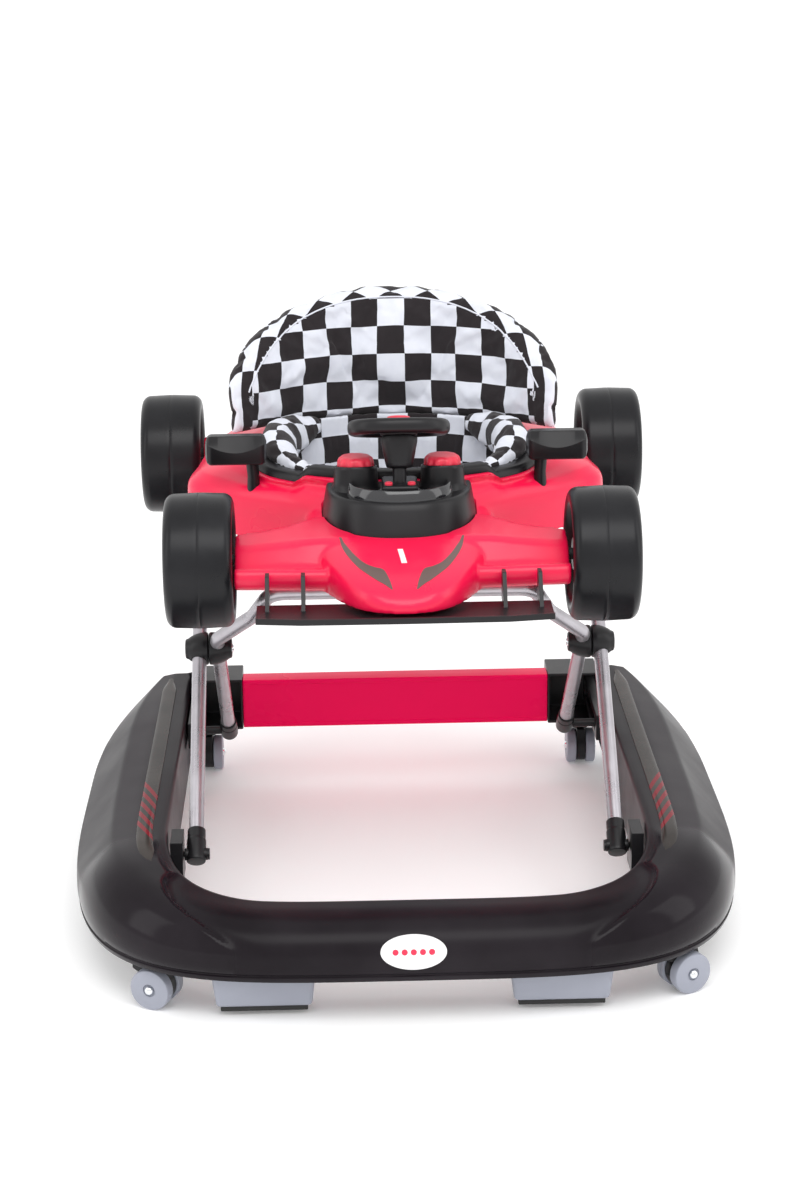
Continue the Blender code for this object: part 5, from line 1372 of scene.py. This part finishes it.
def lay_back(obj):
    """Lays the print face by face, so that no square is smeared across a seam."""
    layout = [back_layout(point) for point in points_of(obj.data)]
    layer = obj.data.uv_layers.new(name="cloth")
    for face in obj.data.polygons:
        corners = [layout[i] for i in face.vertices]
        depth = sum(c[2] for c in corners) / len(corners)
        inside = sum(c[3] for c in corners) / len(corners)
        for loop, (share, height, own_depth, own_inside) in zip(face.loop_indices, corners):
            if depth < 0.0135 and inside > border_width(share):
                layer.data[loop].uv = panel_print(share, height)
            elif depth < 0.021:
                layer.data[loop].uv = border_print(share, own_depth, own_inside)
            else:
                layer.data[loop].uv = rear_print(share, height)


lay_back(back)
held = []
for i, point in enumerate(points_of(back.data)):
    share, height, depth, inside = back_layout(point)
    if depth < 0.012 and abs(inside - border_width(share)) < 0.0032:
        held.append(i)
    if depth < 0.020 and height < BACK_LOW + 0.006:
        held.append(i)
inflate(back, held, 4.0, 0.010)
finer(back)
mount(back, "tray", ["seat_back"])

# %% Side rolls
for name, side in SIDES:
    path, radii = [], []
    for k in range(25):
        t = k / 24
        a = radians(-52 + 104 * t)
        swell = sin(pi * min(max(t, 0.02), 0.98)) ** 0.6
        wide = 0.006 + 0.0155 * swell * (0.80 + 0.30 * t)
        p = opening_point(a, -0.0060 - 0.85 * wide)
        path.append(Vector((side * p.x, p.y, 0.4400 + 0.008 * t - rim_dip(0.148 * cos(a), p.y) * 0.8)))
        radii.append(wide)
    roll = new_object(f"side_roll_{name}", pipe(path, radii, 20), check_cotton)
    remeshed(roll, 0.0045)
    laid, held = [], []
    for i, point in enumerate(points_of(roll.data)):
        a = atan2((point[1] - OPENING_Y) / OPENING_B, side * point[0] / OPENING_A)
        t = (np.degrees(a) + 52) / 104
        centre = path[int(min(max(t, 0), 1) * 24)]
        lift = atan2(point[2] - centre.z, hypot(point[0] - centre.x, point[1] - centre.y)
                     * (1 if hypot(point[0], point[1] - OPENING_Y) < hypot(centre.x, centre.y - OPENING_Y) else -1))
        laid.append((a * 0.135 / SQUARE + 0.3, lift * 0.020 / SQUARE + a * 0.9 + 20))
        if abs(lift) > 2.5 and point[2] < centre.z + 0.004:
            held.append(i)
    lay_cloth(roll, laid)
    inflate(roll, held, 4.0, 0.006)
    finer(roll)
    mount(roll, "tray")

# %% Hanging sling
rows = ((0.4385, 0.925), (0.4300, 0.935), (0.400, 0.935), (0.355, 0.850), (0.315, 0.690), (0.287, 0.470),
        (0.274, 0.235), (0.271, 0.004))
shape = curve_through(rows, 5)
rings = []
thick = 0.0045
skin_out = [(z, r * OPENING_A) for z, r in shape]
skin_in = []
for i, (z, r) in enumerate(skin_out):
    a, b = skin_out[max(i - 1, 0)], skin_out[min(i + 1, len(skin_out) - 1)]
    normal = Vector((b[1] - a[1], -(b[0] - a[0])))
    normal = normal.normalized() if normal.length > 1e-9 else Vector((1, 0))
    skin_in.append((z - normal.x * thick, max(r + normal.y * -thick, 0.0003)))
profile = skin_out[::-1] + skin_in
for z, r in profile:
    ring = []
    for j in range(96):
        a = 2 * pi * j / 96
        near_rim = smooth_step((z - 0.415) / 0.020)
        under_back = smooth_step((sin(a) - 0.10) / 0.30)
        grown = r * (1 + 0.020 * near_rim * under_back)
        lifted = near_rim * (0.013 * under_back + 0.003) - 0.8 * rim_dip(r * cos(a), OPENING_Y + r * sin(a)) * near_rim
        ring.append(Vector((grown * cos(a), OPENING_Y + grown * OPENING_B / OPENING_A * sin(a), z + lifted)))
    rings.append(ring)
sling = new_object("seat_sling", loft(rings), check_cotton)
holes = []
for _, side in SIDES:
    start = Vector((side * 0.050, OPENING_Y - 0.035, 0.325))
    holes.append(pipe([start, start + Vector((side * 0.05, -0.12, -0.075))], 0.036, 32))
combine(sling, holes, "DIFFERENCE", "EXACT")
remeshed(sling, 0.0035)
laid, held = [], []
for i, point in enumerate(points_of(sling.data)):
    a = atan2((point[1] - OPENING_Y) / OPENING_B, point[0] / OPENING_A)
    laid.append(((a - pi / 2) * 0.118 / SQUARE + 40.5, (point[2] - 0.4475) / SQUARE + 20.55))
    if point[2] > 0.430:
        held.append(i)
lay_cloth(sling, laid)
inflate(sling, held, 1.5, 0.004)
mount(sling, "tray", ["seat_pad"])
print("seat done")

# %% [markdown]
# ## Piping on the cushion
# A thin white piping follows the border seam on the face of the back cushion. It is laid on the swollen surface by
# casting rays at it, so it sits in the pucker that the simulation made.

# %% Border piping
tree = BVHTree.FromObject(back, bpy.context.evaluated_depsgraph_get())
line = []
for k in range(141):
    share = -0.90 + 1.80 * k / 140
    slope = (back_top(share + 0.01) - back_top(share - 0.01)) / (0.02 * BACK_SPAN * BACK_R)
    height = back_top(share) - border_width(share) * sqrt(1 + slope**2)
    aim = back_point(share, max(height, BACK_LOW + 0.006), 0.0)
    inward = Vector((-sin(BACK_SPAN * share), -cos(BACK_SPAN * share), 0))
    hit = tree.ray_cast(aim + inward * 0.05, -inward)
    if hit[0]:
        line.append(hit[0] + inward * 0.0002)
seam = new_object("back_seam", pipe(line, 0.0009, 10), check_cotton)
lay_cloth(seam, [(0.5, 0.5)] * len(seam.data.vertices))
mount(seam, "tray")
print("seam points:", len(line))

# %% [markdown]
# ## Studio
# A pale round floor runs out under a plain white sky, so no horizon shows. One broad soft light hangs above and in
# front, and two tall soft lights stand at the sides for the long highlights on the wheels and the base.

# %% Floor
def pale_floor():
    made, tree, shader = new_material("pale_floor")
    where = add_node(tree, "ShaderNodeTexCoord")
    haze = add_node(tree, "ShaderNodeTexNoise", {"Vector": where.outputs["Object"], "Scale": 3.0})
    pale = colour_between(tree, haze.outputs["Fac"], (0.965, 0.965, 0.965), (0.98, 0.98, 0.98))
    tree.links.new(pale, shader.inputs["Base Color"])
    shader.inputs["Roughness"].default_value = 0.9
    shader.inputs["Specular IOR Level"].default_value = 0.1
    shader.inputs["Emission Color"].default_value = (1, 1, 1, 1)
    shader.inputs["Emission Strength"].default_value = 0.12
    return made


FLOOR_REACHES, ROUND = (1.5, 4.0, 12.0, 40.0), 48
turns = [2 * pi * k / ROUND for k in range(ROUND)]
points = [Vector((0, 0, 0))] + [Vector((r * cos(a), r * sin(a), 0)) for r in FLOOR_REACHES for a in turns]
faces = [(0, 1 + k, 1 + (k + 1) % ROUND) for k in range(ROUND)]
for near in range(1, 1 + (len(FLOOR_REACHES) - 1) * ROUND, ROUND):
    far = near + ROUND
    for k in range(ROUND):
        m = (k + 1) % ROUND
        faces.append((near + k, far + k, far + m, near + m))
floor = new_object("studio_floor", (points, faces), pale_floor(), sharp=80)

# %% Lights
world = bpy.data.worlds.new("studio_air")
bpy.context.scene.world = world
world.use_nodes = True
world.node_tree.nodes["Background"].inputs["Color"].default_value = (1, 1, 1, 1)
world.node_tree.nodes["Background"].inputs["Strength"].default_value = 1.0


def softbox(name, place, aim, size, power):
    data = bpy.data.lights.new(name, "AREA")
    data.shape = "RECTANGLE"
    data.size, data.size_y = size
    data.energy = power
    lamp = bpy.data.objects.new(name, data)
    lamp.location = place
    lamp.rotation_euler = (Vector(aim) - Vector(place)).to_track_quat("-Z", "Y").to_euler()
    bpy.context.scene.collection.objects.link(lamp)
    return lamp


softbox("front_top_softbox", (0.2, -1.8, 2.6), (0, 0, 0.3), (2.4, 1.4), 34)
softbox("left_softbox", (-2.2, -0.8, 1.3), (0, 0, 0.3), (0.9, 2.0), 8)
softbox("right_softbox", (2.2, -0.6, 1.3), (0, 0, 0.3), (0.9, 2.0), 8)
bpy.context.scene.view_settings.view_transform = "Standard"

# %% [markdown]
# ## Camera
# The camera stands about two and a half metres away, a little over a metre up, and looks down on the walker almost
# straight from the front with a long lens.

# %% Camera
yaw, pitch, roll_angle = radians(1.413), radians(17.011), radians(0.686)
forward = Vector((sin(yaw) * cos(pitch), cos(yaw) * cos(pitch), -sin(pitch)))
right = Vector((cos(yaw), -sin(yaw), 0))
down = forward.cross(right)
right_rolled = right * cos(roll_angle) + down * sin(roll_angle)
down_rolled = -right * sin(roll_angle) + down * cos(roll_angle)
data = bpy.data.cameras.new("studio_camera")
data.lens, data.sensor_width = 75.0, 36.0
data.clip_start, data.clip_end = 0.1, 50
camera = bpy.data.objects.new("studio_camera", data)
bpy.context.scene.collection.objects.link(camera)
turn = Matrix((right_rolled, -down_rolled, -forward)).transposed()
camera.matrix_world = Matrix.Translation((-0.0614, -2.5097, 1.0708)) @ turn.to_4x4()
bpy.context.scene.camera = camera
